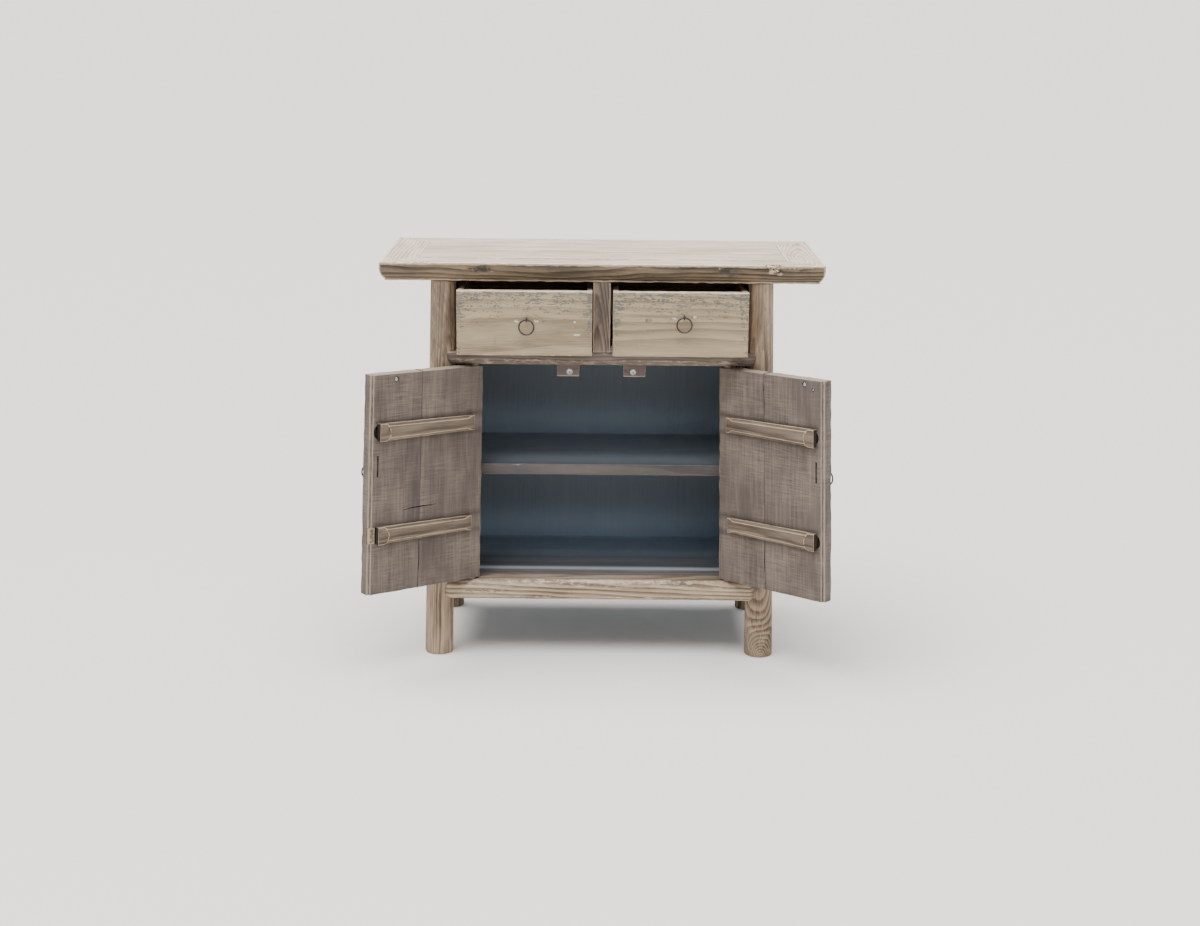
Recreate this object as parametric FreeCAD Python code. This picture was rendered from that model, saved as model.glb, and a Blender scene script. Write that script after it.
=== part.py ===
import FreeCAD, Part
import math
import os

# Low two-door, two-drawer wooden cabinet on four round, splayed posts.
# Millimetres. The origin is the centre of the footprint on the floor.
# +X is the cabinet's right as seen from the front, -Y is the front, +Z is up.
# At rest the drawers are pulled out a little and the doors stand wide open.

os.makedirs("parts", exist_ok=True)

V = FreeCAD.Vector

# Signs of the two sides, seen from the front
right_hand = 1
left_hand = -1

# Whole cabinet
top_width = 950.0
top_depth = 420.0
cabinet_height = 880.0
top_thickness = 41.0

# Clearances and one overrun for every cut
joint_gap = 0.1
board_gap = 0.4
panel_play = 0.3
running_gap = 0.4
cut_overrun = 30.0

# Top frame, mitred at the corners, with a moulded edge
frame_member_width = 78.0
edge_plumb_height = 13.0
edge_bead_height = 4.0
edge_undercut = 11.0
edge_arris_radius = 1.5
panel_board_thickness = 18.0
panel_tongue_length = 8.0
panel_tongue_thickness = 7.0
panel_tongue_drop = 5.0
panel_seam_shares = (-0.22, 0.38)

# Battens that tie the top panel's boards from below
top_batten_width = 42.0
top_batten_key_depth = 5.0
top_batten_key_flare = 3.0

# Round posts
post_foot_radius = 31.5
post_head_radius = 27.5
post_side_inset = 117.4
post_front_inset = 40.0
post_splay_angle = 1.17
post_flat_count = 36
post_tenon_radius = 11.0
post_tenon_length = 22.0
post_foot_bevel = 2.5

# Rails with rounded faces, scribed round the posts
drawer_opening_height = 152.5
drawer_rail_height = 30.0
drawer_rail_face = 26.5
drawer_rail_depth = 52.0
drawer_rail_lower_round = 16.0
drawer_rail_upper_round = 4.0
bottom_rail_bottom = 129.5
bottom_rail_height = 44.5
bottom_rail_face = 30.0
bottom_rail_depth = 52.0
bottom_rail_lower_round = 10.0
bottom_rail_upper_round = 17.0
side_rail_half_width = 22.0
side_rail_round = 8.0
rail_tenon_width = 30.0
rail_tenon_height = 12.0
rail_tenon_end_gap = 8.0
side_tenon_width = 12.0
side_tenon_length = 24.0

# Side and back boards
side_board_thickness = 14.0
back_board_thickness = 12.0
board_tongue = 8.0
side_board_seam_share = 0.25
back_board_seam_shares = (-0.52, -0.06, 0.46)

# Fixed strips between the front posts and the doors
jamb_thickness = 18.0
jamb_gap = 1.8
jamb_tongue = 5.0

# Floor boards and shelf
floor_board_thickness = 16.0
floor_ledge = 10.0
floor_seam_shares = (-0.40, 0.30)
shelf_share = 0.4725
shelf_thickness = 24.0
shelf_front_setback = 24.0
shelf_seam_share = 0.05
shelf_edge_round = 2.0
bearer_height = 25.0
bearer_width = 22.0

# Post between the drawers
divider_width = 38.6
divider_depth = 40.0
divider_tenon_length = 12.0
divider_tenon_width = 14.0
divider_edge_round = 1.5

# Drawers
drawer_head_gap = 13.6
drawer_post_gap = 1.4
drawer_back_gap = 19.0
drawer_front_thickness = 20.0
drawer_side_thickness = 12.0
drawer_side_drop = 4.0
drawer_back_drop = 14.0
drawer_bottom_thickness = 8.0
drawer_bottom_lift = 9.0
drawer_groove = 5.0
drawer_front_setback = 4.0
drawer_pulled_out = 50.0
drawer_corner_round = 7.0
drawer_edge_bevel = 1.2
dovetail_count = 3
dovetail_length = 13.0
dovetail_root_share = 0.42
dovetail_tip_share = 0.62
dovetail_centre_share = 0.5
left_drawer_gap = 1.0
right_drawer_gap = 4.5

# Runners under the drawers
runner_height = 18.0
runner_width = 44.0
guide_rise = 26.0
guide_gap = 0.7
guide_width = 8.0
runner_tenon_length = 9.0
runner_tenon_height = 9.0
guide_nub_height = 13.5

# Doors
door_thickness = 28.0
door_top_gap = 2.5
door_bottom_gap = 3.0
door_meeting_gap = 3.0
pivot_inboard = 71.0
pivot_forward = 8.5
pivot_edge = 13.0
pivot_radius = 8.0
pivot_clearance = 0.3
pivot_seat_gap = 0.3
lower_pivot_depth = 12.0
upper_pivot_depth = 13.0
upper_pivot_lift = 3.0
hinge_arris_round = 3.0
rebate_width = 6.0
rebate_depth = 4.5
door_arris_round = 1.0
left_door_open_angle = 141.0
right_door_open_angle = 136.0
left_meeting_share = 0.4346
right_meeting_share = 0.5433

# Tapered battens that slide into the doors
batten_wide = 39.0
batten_narrow = 33.0
batten_rise = 11.0
batten_key_depth = 7.0
batten_neck_inset = 3.0
batten_free_inset = 18.0
batten_hinge_inset = 23.0
batten_bevel = 6.0
batten_bevel_start = 14.0
batten_bevel_full = 26.0
batten_start_share = 0.02
upper_batten_share = 0.7442
lower_batten_share = 0.2746
pocket_radius = 17.0
left_pocket_reach = 12.0
right_upper_pocket_reach = 7.0
right_lower_pocket_reach = 11.0
filler_gap = 4.0

# Catch blocks and their magnets
catch_centre_x = 72.0
catch_width = 49.0
catch_depth = 22.0
catch_height = 30.0
catch_door_gap = 2.8
catch_corner_cut = 2.0
magnet_radius = 6.5
magnet_depth = 6.0
magnet_centre_x = 69.0
magnet_drop = 19.0

# Ring pulls hung in split pins
ring_radius = 15.8
ring_wire_radius = 1.7
wire_side_count = 6
ring_flat_count = 32
eye_flat_count = 14
eye_bore_radius = 3.0
eye_wire_radius = 1.5
eye_standoff = 8.0
shank_radius = 2.2
shank_clearance = 0.15
prong_length = 13.0
prong_width = 3.0
prong_thickness = 1.8
left_drawer_pull_shares = (0.4833, 0.5697)
right_drawer_pull_shares = (0.5253, 0.6245)
door_pull_inset = 19.5
door_pull_share = 0.589
pull_slot_length = 45.0
pull_slot_width = 5.0
pull_slot_depth = 2.6

# Levels and planes that several pieces share
post_spread_x = top_width / 2 - post_side_inset
post_spread_y = top_depth / 2 - post_front_inset
top_underside = cabinet_height - top_thickness
splay_slope = math.tan(math.radians(post_splay_angle))
drawer_rail_top = top_underside - drawer_opening_height
drawer_rail_bottom = drawer_rail_top - drawer_rail_height
bottom_rail_top = bottom_rail_bottom + bottom_rail_height
drawer_rail_front = -post_spread_y - drawer_rail_face
drawer_rail_back = drawer_rail_front + drawer_rail_depth
bottom_rail_front = -post_spread_y - bottom_rail_face
bottom_rail_back = bottom_rail_front + bottom_rail_depth
frame_inner_x = top_width / 2 - frame_member_width
frame_inner_y = top_depth / 2 - frame_member_width
panel_underside = cabinet_height - panel_board_thickness
door_bottom = bottom_rail_top + door_bottom_gap
door_top = drawer_rail_bottom - door_top_gap
door_edge_x = door_meeting_gap / 2
door_height = door_top - door_bottom
upper_batten_height = upper_batten_share * door_height
lower_batten_height = lower_batten_share * door_height
pivot_y = -post_spread_y - pivot_forward
pivot_floor_x = post_spread_x - pivot_inboard
door_inner_y = pivot_y + door_thickness / 2
door_outer_y = pivot_y - door_thickness / 2
shelf_bottom = bottom_rail_top + shelf_share * (drawer_rail_bottom - bottom_rail_top)
shelf_top = shelf_bottom + shelf_thickness
shelf_front = -post_spread_y + shelf_front_setback
drawer_bottom = drawer_rail_top + running_gap
drawer_closed_front = drawer_rail_front + drawer_front_setback
drawer_height = drawer_opening_height - running_gap - drawer_head_gap
drawer_top = drawer_bottom + drawer_height
drawer_length = -drawer_rail_back - drawer_back_gap - drawer_closed_front
ring_drop = eye_bore_radius - ring_wire_radius - panel_play


# Basic shapes

def box(x0, x1, y0, y1, z0, z1):
    """A block between two corners."""
    return Part.makeBox(x1 - x0, y1 - y0, z1 - z0, V(x0, y0, z0))


def mirrored(shape):
    """The same piece on the cabinet's left."""
    return shape.mirror(V(0, 0, 0), V(1, 0, 0))


def on_side(shape, side):
    """A piece drawn on the right, put on its own side (1 right, -1 left)."""
    return shape if side > 0 else mirrored(shape)


def outline_face(corners):
    """A flat face inside an outline of corners."""
    return Part.Face(Part.makePolygon(corners + [corners[0]]))


def prism(corners, sweep):
    """A flat outline of corners swept along a vector."""
    return outline_face(corners).extrude(sweep)


def faceted(sections, loop=False):
    """A solid of flat faces through outlines of equal corner count, open-ended or in a loop."""
    count = len(sections[0])
    faces = [] if loop else [outline_face(sections[0]), outline_face(sections[-1])]
    for index in range(len(sections) if loop else len(sections) - 1):
        here, there = sections[index], sections[(index + 1) % len(sections)]
        for side in range(count):
            after = (side + 1) % count
            faces.append(outline_face([here[side], here[after], there[after], there[side]]))
    solid = Part.makeSolid(Part.makeShell(faces))
    if solid.Volume < 0:
        solid.reverse()
    return solid


def wire_ring(centre, axis, radius, wire_radius, flats):
    """A ring of hammered wire: short flats along its length and round its section."""
    sections = []
    for index in range(flats):
        lean = FreeCAD.Rotation(axis, 360 * index / flats)
        corners = []
        for side in range(wire_side_count):
            turn = math.pi * (2 * side + 1) / wire_side_count
            corner = V(0, 0, radius + wire_radius * math.cos(turn)) + axis * (wire_radius * math.sin(turn))
            corners.append(centre + lean.multVec(corner))
        sections.append(corners)
    return faceted(sections, loop=True)


def arc(start, centre, radius, angle0, angle1, plane):
    """A round stretch, given by its centre and angles; plane maps (u, v) to a point."""
    def at(angle):
        turn = math.radians(angle)
        return plane(centre[0] + radius * math.cos(turn), centre[1] + radius * math.sin(turn))
    return Part.Arc(start, at((angle0 + angle1) / 2), at(angle1)).toShape()


def save(name, shape):
    """Write one piece under its own name."""
    shape.exportStep("parts/" + name + ".step")


# Posts

def post_x(z):
    """Distance of a post's axis from the middle at a height."""
    return post_spread_x - z * splay_slope


def post_radius(z):
    """A post's radius at a height: it thins evenly towards its head."""
    return post_foot_radius + (post_head_radius - post_foot_radius) * z / top_underside


def post_blank(front, grow):
    """The right-hand post's round body, longer than the post, grown by a clearance."""
    y = post_spread_y * (-1 if front else 1)
    sections = []
    for z in (-cut_overrun, top_underside + cut_overrun):
        reach = post_radius(z) + grow
        turns = [2 * math.pi * index / post_flat_count for index in range(post_flat_count)]
        sections.append([V(post_x(z) + reach * math.cos(turn), y + reach * math.sin(turn), z) for turn in turns])
    return faceted(sections)


def post_tenon(front, grow):
    """The round tenon on a post's head, which enters the top frame."""
    y = post_spread_y * (-1 if front else 1)
    base = V(post_x(top_underside), y, top_underside - joint_gap)
    return Part.makeCylinder(post_tenon_radius + grow, post_tenon_length + grow + joint_gap, base)


def post(front, joints):
    """A splayed round post with a bevelled foot, a head tenon and its mortises."""
    body = post_blank(front, 0)
    reach = top_width
    level = box(-reach, reach, -reach, reach, 0, top_underside)
    body = body.common(level)
    foot_edges = [edge for edge in body.Edges if edge.BoundBox.ZMax < post_foot_bevel]
    body = body.makeChamfer(post_foot_bevel, foot_edges)
    body = body.fuse(post_tenon(front, 0))
    return body.cut(Part.makeCompound(joints)).removeSplitter()


# Rails

def rail_body(face, depth, bottom, height, lower_round, upper_round, half_length):
    """A rail along X with its rounded face towards -Y at y = face."""
    top = bottom + height
    back = face + depth

    def plane(u, v):
        return V(-half_length, u, v)

    lower = arc(plane(face + lower_round, bottom), (face + lower_round, bottom + lower_round),
                lower_round, 270, 180, plane)
    upper = arc(plane(face, top - upper_round), (face + upper_round, top - upper_round),
                upper_round, 180, 90, plane)
    edges = [
        lower,
        Part.makeLine(plane(face, bottom + lower_round), plane(face, top - upper_round)),
        upper,
        Part.makeLine(plane(face + upper_round, top), plane(back, top)),
        Part.makeLine(plane(back, top), plane(back, bottom)),
        Part.makeLine(plane(back, bottom), plane(face + lower_round, bottom)),
    ]
    return Part.Face(Part.Wire(edges)).extrude(V(2 * half_length, 0, 0))


def long_tenon(z, grow):
    """The right-hand tenon of a front rail, which stops short of the post's axis."""
    end = post_x(z) - rail_tenon_end_gap + grow
    half_width = rail_tenon_width / 2 + grow
    half_height = rail_tenon_height / 2 + grow
    return box(post_x(z) - post_foot_radius - board_tongue, end,
               -post_spread_y - half_width, -post_spread_y + half_width,
               z - half_height, z + half_height)


def side_tenon(z, grow):
    """The front tenon of a right-hand side rail."""
    half_width = side_tenon_width / 2 + grow
    half_height = rail_tenon_height / 2 + grow
    start = -post_spread_y + post_foot_radius + board_tongue
    end = start - side_tenon_length - board_tongue - grow
    return box(post_x(z) - half_width, post_x(z) + half_width, end, start, z - half_height, z + half_height)


def turned_back(shape):
    """A piece drawn at the front, put at the back."""
    return shape.mirror(V(0, 0, 0), V(0, 1, 0))


def scribed(rail, z, tenon):
    """A rail whose ends fit round both front posts and keep a tenon at each end."""
    posts = post_blank(True, joint_gap)
    body = rail.cut(posts).cut(mirrored(posts))
    body = max(body.Solids, key=lambda solid: solid.Volume)
    tip = tenon(z, 0)
    return body.fuse(tip).fuse(mirrored(tip)).removeSplitter()


def drawer_rail_shape():
    """The rail under the drawers, before its holes."""
    middle = drawer_rail_bottom + drawer_rail_height / 2
    rail = rail_body(drawer_rail_front, drawer_rail_depth, drawer_rail_bottom, drawer_rail_height,
                     drawer_rail_lower_round, drawer_rail_upper_round, post_x(middle))
    return scribed(rail, middle, long_tenon)


def bottom_rail_shape():
    """The rail under the doors, before its holes."""
    middle = bottom_rail_bottom + bottom_rail_height / 2
    rail = rail_body(bottom_rail_front, bottom_rail_depth, bottom_rail_bottom, bottom_rail_height,
                     bottom_rail_lower_round, bottom_rail_upper_round, post_x(middle))
    return scribed(rail, middle, long_tenon)


def side_rail_shape(bottom, height, front_rail_back):
    """A right-hand side rail between the posts, shouldered behind the front rail."""
    middle = bottom + height / 2
    rail = rail_body(-side_rail_half_width, 2 * side_rail_half_width, bottom, height,
                     side_rail_round, side_rail_round, post_spread_y)
    rail.rotate(V(0, 0, 0), V(0, 0, 1), 90)
    rail.translate(V(post_x(middle), 0, 0))
    shoulder = box(0, post_x(middle), -top_depth, front_rail_back + joint_gap, 0, top_underside)
    rail = rail.cut(shoulder).cut(turned_back(shoulder))
    posts = post_blank(True, joint_gap).fuse(post_blank(False, joint_gap))
    body = max(rail.cut(posts).Solids, key=lambda solid: solid.Volume)
    tip = side_tenon(middle, 0)
    return body.fuse(tip).fuse(turned_back(tip)).removeSplitter()


# Side, back, floor and shelf boards

def leaning_board(y0, y1, low, high, thickness):
    """A right-hand board that leans with the posts; low and high are level cuts."""
    def corner(x_side, z):
        return V(post_x(z) + x_side * thickness / 2, y0, z)
    outline = [corner(-1, low), corner(1, low), corner(1, high), corner(-1, high)]
    return prism(outline, V(0, y1 - y0, 0))


def side_board_envelope(low, high, grow):
    """The right-hand side boards as one panel, its tongues included."""
    middle = (low + high) / 2
    reach = post_spread_y - post_radius(middle) + board_tongue + grow
    return leaning_board(-reach, reach, low - board_tongue - grow, high + board_tongue + grow,
                         side_board_thickness + 2 * grow)


def upper_side_board():
    """The right-hand board beside a drawer; only its part between the top's rails reaches the batten."""
    body = side_board_envelope(drawer_rail_top, top_underside, 0)
    clear = frame_inner_y - joint_gap
    for y0, y1 in ((-top_depth, -clear), (clear, top_depth)):
        body = body.cut(box(0, top_width, y0, y1, top_underside, top_underside + cut_overrun))
    return body


def split_boards(panel, axis, seams):
    """Cut a panel into boards at seams along X or Y, and return them as one group."""
    reach = top_width
    for seam in seams:
        if axis == "x":
            saw = box(seam - board_gap / 2, seam + board_gap / 2, -reach, reach, -reach, reach)
        else:
            saw = box(-reach, reach, seam - board_gap / 2, seam + board_gap / 2, -reach, reach)
        panel = panel.cut(saw)
    return Part.makeCompound(panel.Solids)


def back_board_envelope(low, high, grow):
    """The back boards as one panel whose ends follow the leaning posts."""
    bottom = low - board_tongue - grow
    top = high + board_tongue + grow
    thickness = back_board_thickness + 2 * grow
    y = post_spread_y - thickness / 2

    def corner(side, z):
        return V(side * (post_x(z) - post_radius(z) + board_tongue + grow), y, z)

    outline = [corner(-1, bottom), corner(1, bottom), corner(1, top), corner(-1, top)]
    return prism(outline, V(0, thickness, 0))


def floor_envelope(grow):
    """The floor boards as one block, resting on ledges in the four bottom rails."""
    half_x = post_x(bottom_rail_top) - side_rail_half_width + floor_ledge + grow
    half_y = -bottom_rail_back + floor_ledge + grow
    low = bottom_rail_top - floor_board_thickness - grow
    return box(-half_x, half_x, -half_y, half_y, low, bottom_rail_top + grow)


def clear_of_posts(shape):
    """Notch a level board round the four posts."""
    for front in (True, False):
        cone = post_blank(front, panel_play)
        shape = shape.cut(cone).cut(mirrored(cone))
    return shape


def floor_boards():
    """Three floor boards side by side."""
    body = floor_envelope(-panel_play).translated(V(0, 0, -panel_play))
    body = clear_of_posts(body)
    for side in (right_hand, left_hand):
        body = body.cut(on_side(side_board_envelope(bottom_rail_top, drawer_rail_bottom, joint_gap), side))
        body = body.cut(on_side(jamb_block(joint_gap), side))
    depth = -bottom_rail_back
    return split_boards(body, "y", [share * depth for share in floor_seam_shares])


def shelf_boards():
    """The shelf: a wide front board and a back board on two bearers."""
    half_x = post_x(shelf_top) - side_board_thickness / 2 - panel_play
    back = post_spread_y - back_board_thickness / 2 - panel_play
    body = box(-half_x, half_x, shelf_front, back, shelf_bottom, shelf_top)
    front_edges = [edge for edge in body.Edges
                   if edge.BoundBox.YMax < shelf_front + shelf_edge_round and edge.BoundBox.XLength > half_x]
    body = body.makeFillet(shelf_edge_round, front_edges)
    body = clear_of_posts(body)
    return split_boards(body, "y", [shelf_seam_share * post_spread_y])


def shelf_bearers():
    """Two square bearers that carry the shelf on the side boards."""
    top = shelf_bottom
    low = top - bearer_height
    outer = post_x(top) - side_board_thickness / 2 - panel_play
    reach = post_spread_y - post_foot_radius - panel_play
    bearer = box(outer - bearer_width, outer, -reach, reach, low, top)
    return Part.makeCompound([bearer, mirrored(bearer)])


def pivot_x(z):
    """Distance of a door's pivot axis from the middle at a height."""
    return pivot_floor_x - z * splay_slope


def jamb_block(grow):
    """The right-hand strip between post and door, leaning with the post."""
    def inner(z):
        return pivot_x(z) + pivot_edge + jamb_gap - grow

    def outer(z):
        return post_x(z) - post_radius(z) + jamb_tongue + grow

    low = bottom_rail_top
    high = drawer_rail_bottom
    y = -post_spread_y - grow
    outline = [V(inner(low), y, low), V(outer(low), y, low), V(outer(high), y, high), V(inner(high), y, high)]
    return prism(outline, V(0, jamb_thickness + 2 * grow, 0))


# Top frame, panel and battens

def edge_section(plane):
    """The moulded edge's outline; plane maps (distance from the outer arris, height)."""
    top = cabinet_height
    bead = top_underside + edge_bead_height
    shoulder = top - edge_plumb_height
    fall = shoulder - bead
    sweep_radius = (edge_undercut ** 2 + fall ** 2) / (2 * edge_undercut)
    end_angle = math.degrees(math.asin(fall / sweep_radius))
    arris = arc(plane(edge_arris_radius, top), (edge_arris_radius, top - edge_arris_radius),
                edge_arris_radius, 90, 180, plane)
    sweep = arc(plane(0, shoulder), (sweep_radius, shoulder), sweep_radius, 180, 180 + end_angle, plane)
    return Part.Wire([
        arris,
        Part.makeLine(plane(0, top - edge_arris_radius), plane(0, shoulder)),
        sweep,
        Part.makeLine(plane(edge_undercut, bead), plane(edge_undercut, top_underside)),
        Part.makeLine(plane(edge_undercut, top_underside), plane(frame_member_width, top_underside)),
        Part.makeLine(plane(frame_member_width, top_underside), plane(frame_member_width, top)),
        Part.makeLine(plane(frame_member_width, top), plane(edge_arris_radius, top)),
    ])


def mitre_wedge():
    """Everything in front of the two mitre lines, as a level prism."""
    low = top_underside - cut_overrun
    reach_x = top_width / 2 + cut_overrun
    reach_y = top_depth / 2 + cut_overrun
    inner_x = reach_x - reach_y
    outline = [V(-reach_x, -reach_y, low), V(reach_x, -reach_y, low), V(inner_x, 0, low), V(-inner_x, 0, low)]
    return prism(outline, V(0, 0, top_thickness + 2 * cut_overrun))


def panel_groove():
    """The groove all round the frame for the top panel's tongue."""
    return panel_tongue_block(joint_gap)


def panel_tongue_block(grow):
    """The tongue's layer of the top panel, out to its edges."""
    half_x = frame_inner_x + panel_tongue_length + grow
    half_y = frame_inner_y + panel_tongue_length + grow
    high = cabinet_height - panel_tongue_drop + grow
    return box(-half_x, half_x, -half_y, half_y, high - panel_tongue_thickness - 2 * grow, high)


def top_front_member():
    """The front member of the top frame."""
    def plane(u, v):
        return V(-top_width / 2, -top_depth / 2 + u, v)
    body = Part.Face(edge_section(plane)).extrude(V(top_width, 0, 0))
    body = body.common(mitre_wedge()).cut(panel_groove())
    for side in (right_hand, left_hand):
        body = body.cut(on_side(post_tenon(True, joint_gap), side))
        body = body.cut(on_side(top_batten(joint_gap), side))
    return body


def top_end_member():
    """The right-hand end member of the top frame."""
    def plane(u, v):
        return V(top_width / 2 - u, -top_depth / 2, v)
    body = Part.Face(edge_section(plane)).extrude(V(0, top_depth, 0))
    return body.cut(mitre_wedge()).cut(turned_back(mitre_wedge())).cut(panel_groove())


def batten_key(length_low, length_high, x, grow):
    """The dovetail key on a top batten, standing into the panel from below."""
    half = top_batten_width / 2 - top_batten_key_flare
    wide = half + top_batten_key_flare + grow
    high = panel_underside + top_batten_key_depth + grow
    low = panel_underside - grow
    outline = [V(x - half - grow, length_low, low), V(x + half + grow, length_low, low),
               V(x + wide, length_low, high), V(x - wide, length_low, high)]
    return prism(outline, V(0, length_high - length_low, 0))


def top_batten(grow):
    """The right-hand batten across the boards, over the side of the case."""
    x = post_x(top_underside)
    half = top_batten_width / 2 + grow
    reach = frame_inner_y + grow
    body = box(x - half, x + half, -reach, reach, top_underside - grow, panel_underside)
    return body.fuse(batten_key(-reach, reach, x, grow)).removeSplitter()


def top_panel():
    """The boards of the top, flush with the frame and tongued into it."""
    inner_x = frame_inner_x
    inner_y = frame_inner_y
    body = box(-inner_x, inner_x, -inner_y, inner_y, panel_underside, cabinet_height)
    body = body.fuse(panel_tongue_block(0)).removeSplitter()
    for side in (right_hand, left_hand):
        x = side * post_x(top_underside)
        body = body.cut(batten_key(-inner_y - cut_overrun, inner_y + cut_overrun, x, joint_gap))
    return split_boards(body, "y", [share * inner_y for share in panel_seam_shares])


def top_battens():
    """Both battens, each grooved below for the case's upper side board."""
    groove = side_board_envelope(drawer_rail_top, top_underside, joint_gap)
    batten = top_batten(0).cut(groove)
    return Part.makeCompound([batten, mirrored(batten)])


# Post between the drawers, and the runners

def divider(grow):
    """The short post between the drawers, tenoned up and down."""
    half = divider_width / 2
    tenon_half = divider_tenon_width / 2 + grow
    front = drawer_rail_front
    body = box(-half, half, front, front + divider_depth, drawer_rail_top, top_underside)
    upright = [edge for edge in body.Edges if edge.BoundBox.ZLength > divider_width]
    body = body.makeFillet(divider_edge_round, upright)
    middle = front + divider_depth / 2
    tenon = box(-tenon_half, tenon_half, middle - tenon_half, middle + tenon_half,
                drawer_rail_top - divider_tenon_length - grow, top_underside + divider_tenon_length + grow)
    return body.fuse(tenon).removeSplitter()


def post_inner_x(z):
    """A post's side towards the middle at a height."""
    return post_x(z) - post_radius(z)


def drawer_inner_x(side):
    """A drawer's edge next to the divider, as a distance from the middle."""
    gap = right_drawer_gap if side > 0 else left_drawer_gap
    return divider_width / 2 + gap


drawer_width = post_inner_x(drawer_top) - drawer_post_gap - drawer_inner_x(right_hand)


def drawer_outer_x(side):
    """A drawer's edge next to the outer post, as a distance from the middle."""
    return drawer_inner_x(side) + drawer_width


def runner_tenons(x0, x1, grow):
    """Stub tenons of a runner into the drawer rails in front and behind."""
    middle = drawer_rail_top - runner_height / 2
    half = runner_tenon_height / 2 + grow
    reach = -drawer_rail_back + runner_tenon_length + grow
    return box(x0 - grow, x1 + grow, -reach, reach, middle - half, middle + half)


def side_runner_span(side):
    """Inner and outer edges of the bearing part of a side runner."""
    outer = post_x(drawer_rail_bottom + drawer_rail_height / 2) - side_rail_half_width
    return outer - runner_width, outer


def side_runner(side):
    """An outer drawer runner with its raised guide, drawn on the right."""
    low = drawer_rail_top - runner_height
    inner, outer = side_runner_span(side)
    reach = -drawer_rail_back
    guide = drawer_outer_x(side) + guide_gap
    body = box(inner, outer, -reach, reach, low, drawer_rail_top)
    rise = box(guide, guide + guide_width, -reach, reach, low, drawer_rail_top + guide_rise)
    body = body.fuse(rise).fuse(runner_tenons(inner, outer - runner_width / 2, 0))
    return clear_of_posts(body.removeSplitter())


def centre_runner():
    """The shared middle runner, with a guide behind the divider and a strip beside it."""
    low = drawer_rail_top - runner_height
    reach = -drawer_rail_back
    left = -drawer_inner_x(left_hand) + guide_gap
    right = drawer_inner_x(right_hand) - guide_gap
    body = box(-runner_width, runner_width, -reach, reach, low, drawer_rail_top)
    guide_front = drawer_rail_front + divider_depth
    guide = box(left, right, guide_front, reach, drawer_rail_top, drawer_rail_top + guide_rise)
    strip = box(divider_width / 2, right, drawer_rail_front + drawer_edge_bevel, reach,
                drawer_rail_top, drawer_rail_top + guide_nub_height)
    body = body.fuse(guide).fuse(strip)
    return body.fuse(runner_tenons(-runner_width / 2, runner_width / 2, 0)).removeSplitter()


# Drawers, drawn closed with the inner edge at x = 0 and moved into place

def dovetails(grow):
    """The tails on the front end of a drawer side, as one group of keys."""
    height = drawer_height - drawer_side_drop
    pitch = height / dovetail_count
    shoulder = drawer_front_thickness
    tip = shoulder - dovetail_length - grow
    keys = []
    for index in range(dovetail_count):
        centre = pitch * (index + dovetail_centre_share)
        root = pitch * dovetail_root_share / 2 + grow
        wide = pitch * dovetail_tip_share / 2 + grow
        outline = [V(0, shoulder, centre - root), V(0, shoulder, centre + root),
                   V(0, tip, centre + wide), V(0, tip, centre - wide)]
        keys.append(prism(outline, V(drawer_side_thickness, 0, 0)))
    return keys


def drawer_bottom_block(grow):
    """The drawer's bottom board, out to the ends of its grooves."""
    inset = drawer_side_thickness - drawer_groove - grow
    front = drawer_front_thickness - drawer_groove - grow
    return box(inset, drawer_width - inset, front, drawer_length,
               drawer_bottom_lift - grow, drawer_bottom_lift + drawer_bottom_thickness + grow)


def drawer_side():
    """A drawer side at x = 0, tailed into the front and grooved for the bottom."""
    height = drawer_height - drawer_side_drop
    body = box(0, drawer_side_thickness, drawer_front_thickness, drawer_length, 0, height)
    for key in dovetails(0):
        body = body.fuse(key)
    housing = drawer_back_block(joint_gap)
    return body.removeSplitter().cut(drawer_bottom_block(joint_gap)).cut(housing)


def drawer_back_block(grow):
    """The drawer's back board, housed in both sides above the bottom."""
    inset = drawer_side_thickness - drawer_groove - grow
    back = drawer_length - drawer_side_thickness
    low = drawer_bottom_lift + drawer_bottom_thickness + joint_gap
    high = drawer_height - drawer_back_drop
    return box(inset, drawer_width - inset, back - drawer_side_thickness - grow, back + grow,
               low - grow, high + (cut_overrun if grow else 0))


def drawer_front_board(side):
    """The drawer front with worn corners, sockets for the tails and the pull's hole."""
    body = box(0, drawer_width, 0, drawer_front_thickness, 0, drawer_height)
    upright = [edge for edge in body.Edges
               if edge.BoundBox.YLength > drawer_edge_bevel and edge.BoundBox.ZMin < drawer_edge_bevel]
    corner = [edge for edge in upright if edge.BoundBox.XMin > drawer_width / 2
              and edge.BoundBox.XLength < drawer_edge_bevel]
    body = body.makeFillet(drawer_corner_round, corner)
    face_edges = [edge for edge in body.Edges if edge.BoundBox.YMax < drawer_edge_bevel / 2]
    body = body.makeChamfer(drawer_edge_bevel, face_edges)
    for key in dovetails(joint_gap):
        far = key.mirror(V(drawer_width / 2, 0, 0), V(1, 0, 0))
        body = body.cut(key).cut(far)
    return body.cut(drawer_bottom_block(joint_gap)).cut(pull_hole(drawer_pull_point(side)))


def drawer_pull_point(side):
    """Where the pull's pin goes through a drawer front."""
    across, up = right_drawer_pull_shares if side > 0 else left_drawer_pull_shares
    return V(across * drawer_width, 0, up * drawer_height)


def pull_hole(point):
    """The hole for a split pin, along Y through a board whose face is at the point."""
    return Part.makeCylinder(shank_radius + shank_clearance, door_thickness + 2 * cut_overrun,
                             point - V(0, cut_overrun, 0), V(0, 1, 0))


def placed_drawer(shape, side):
    """Move a drawer piece, drawn on the right, to its pulled-out place."""
    x = drawer_inner_x(side)
    y = drawer_closed_front - drawer_pulled_out
    return on_side(shape.translated(V(x, y, drawer_bottom)), side)


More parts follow.
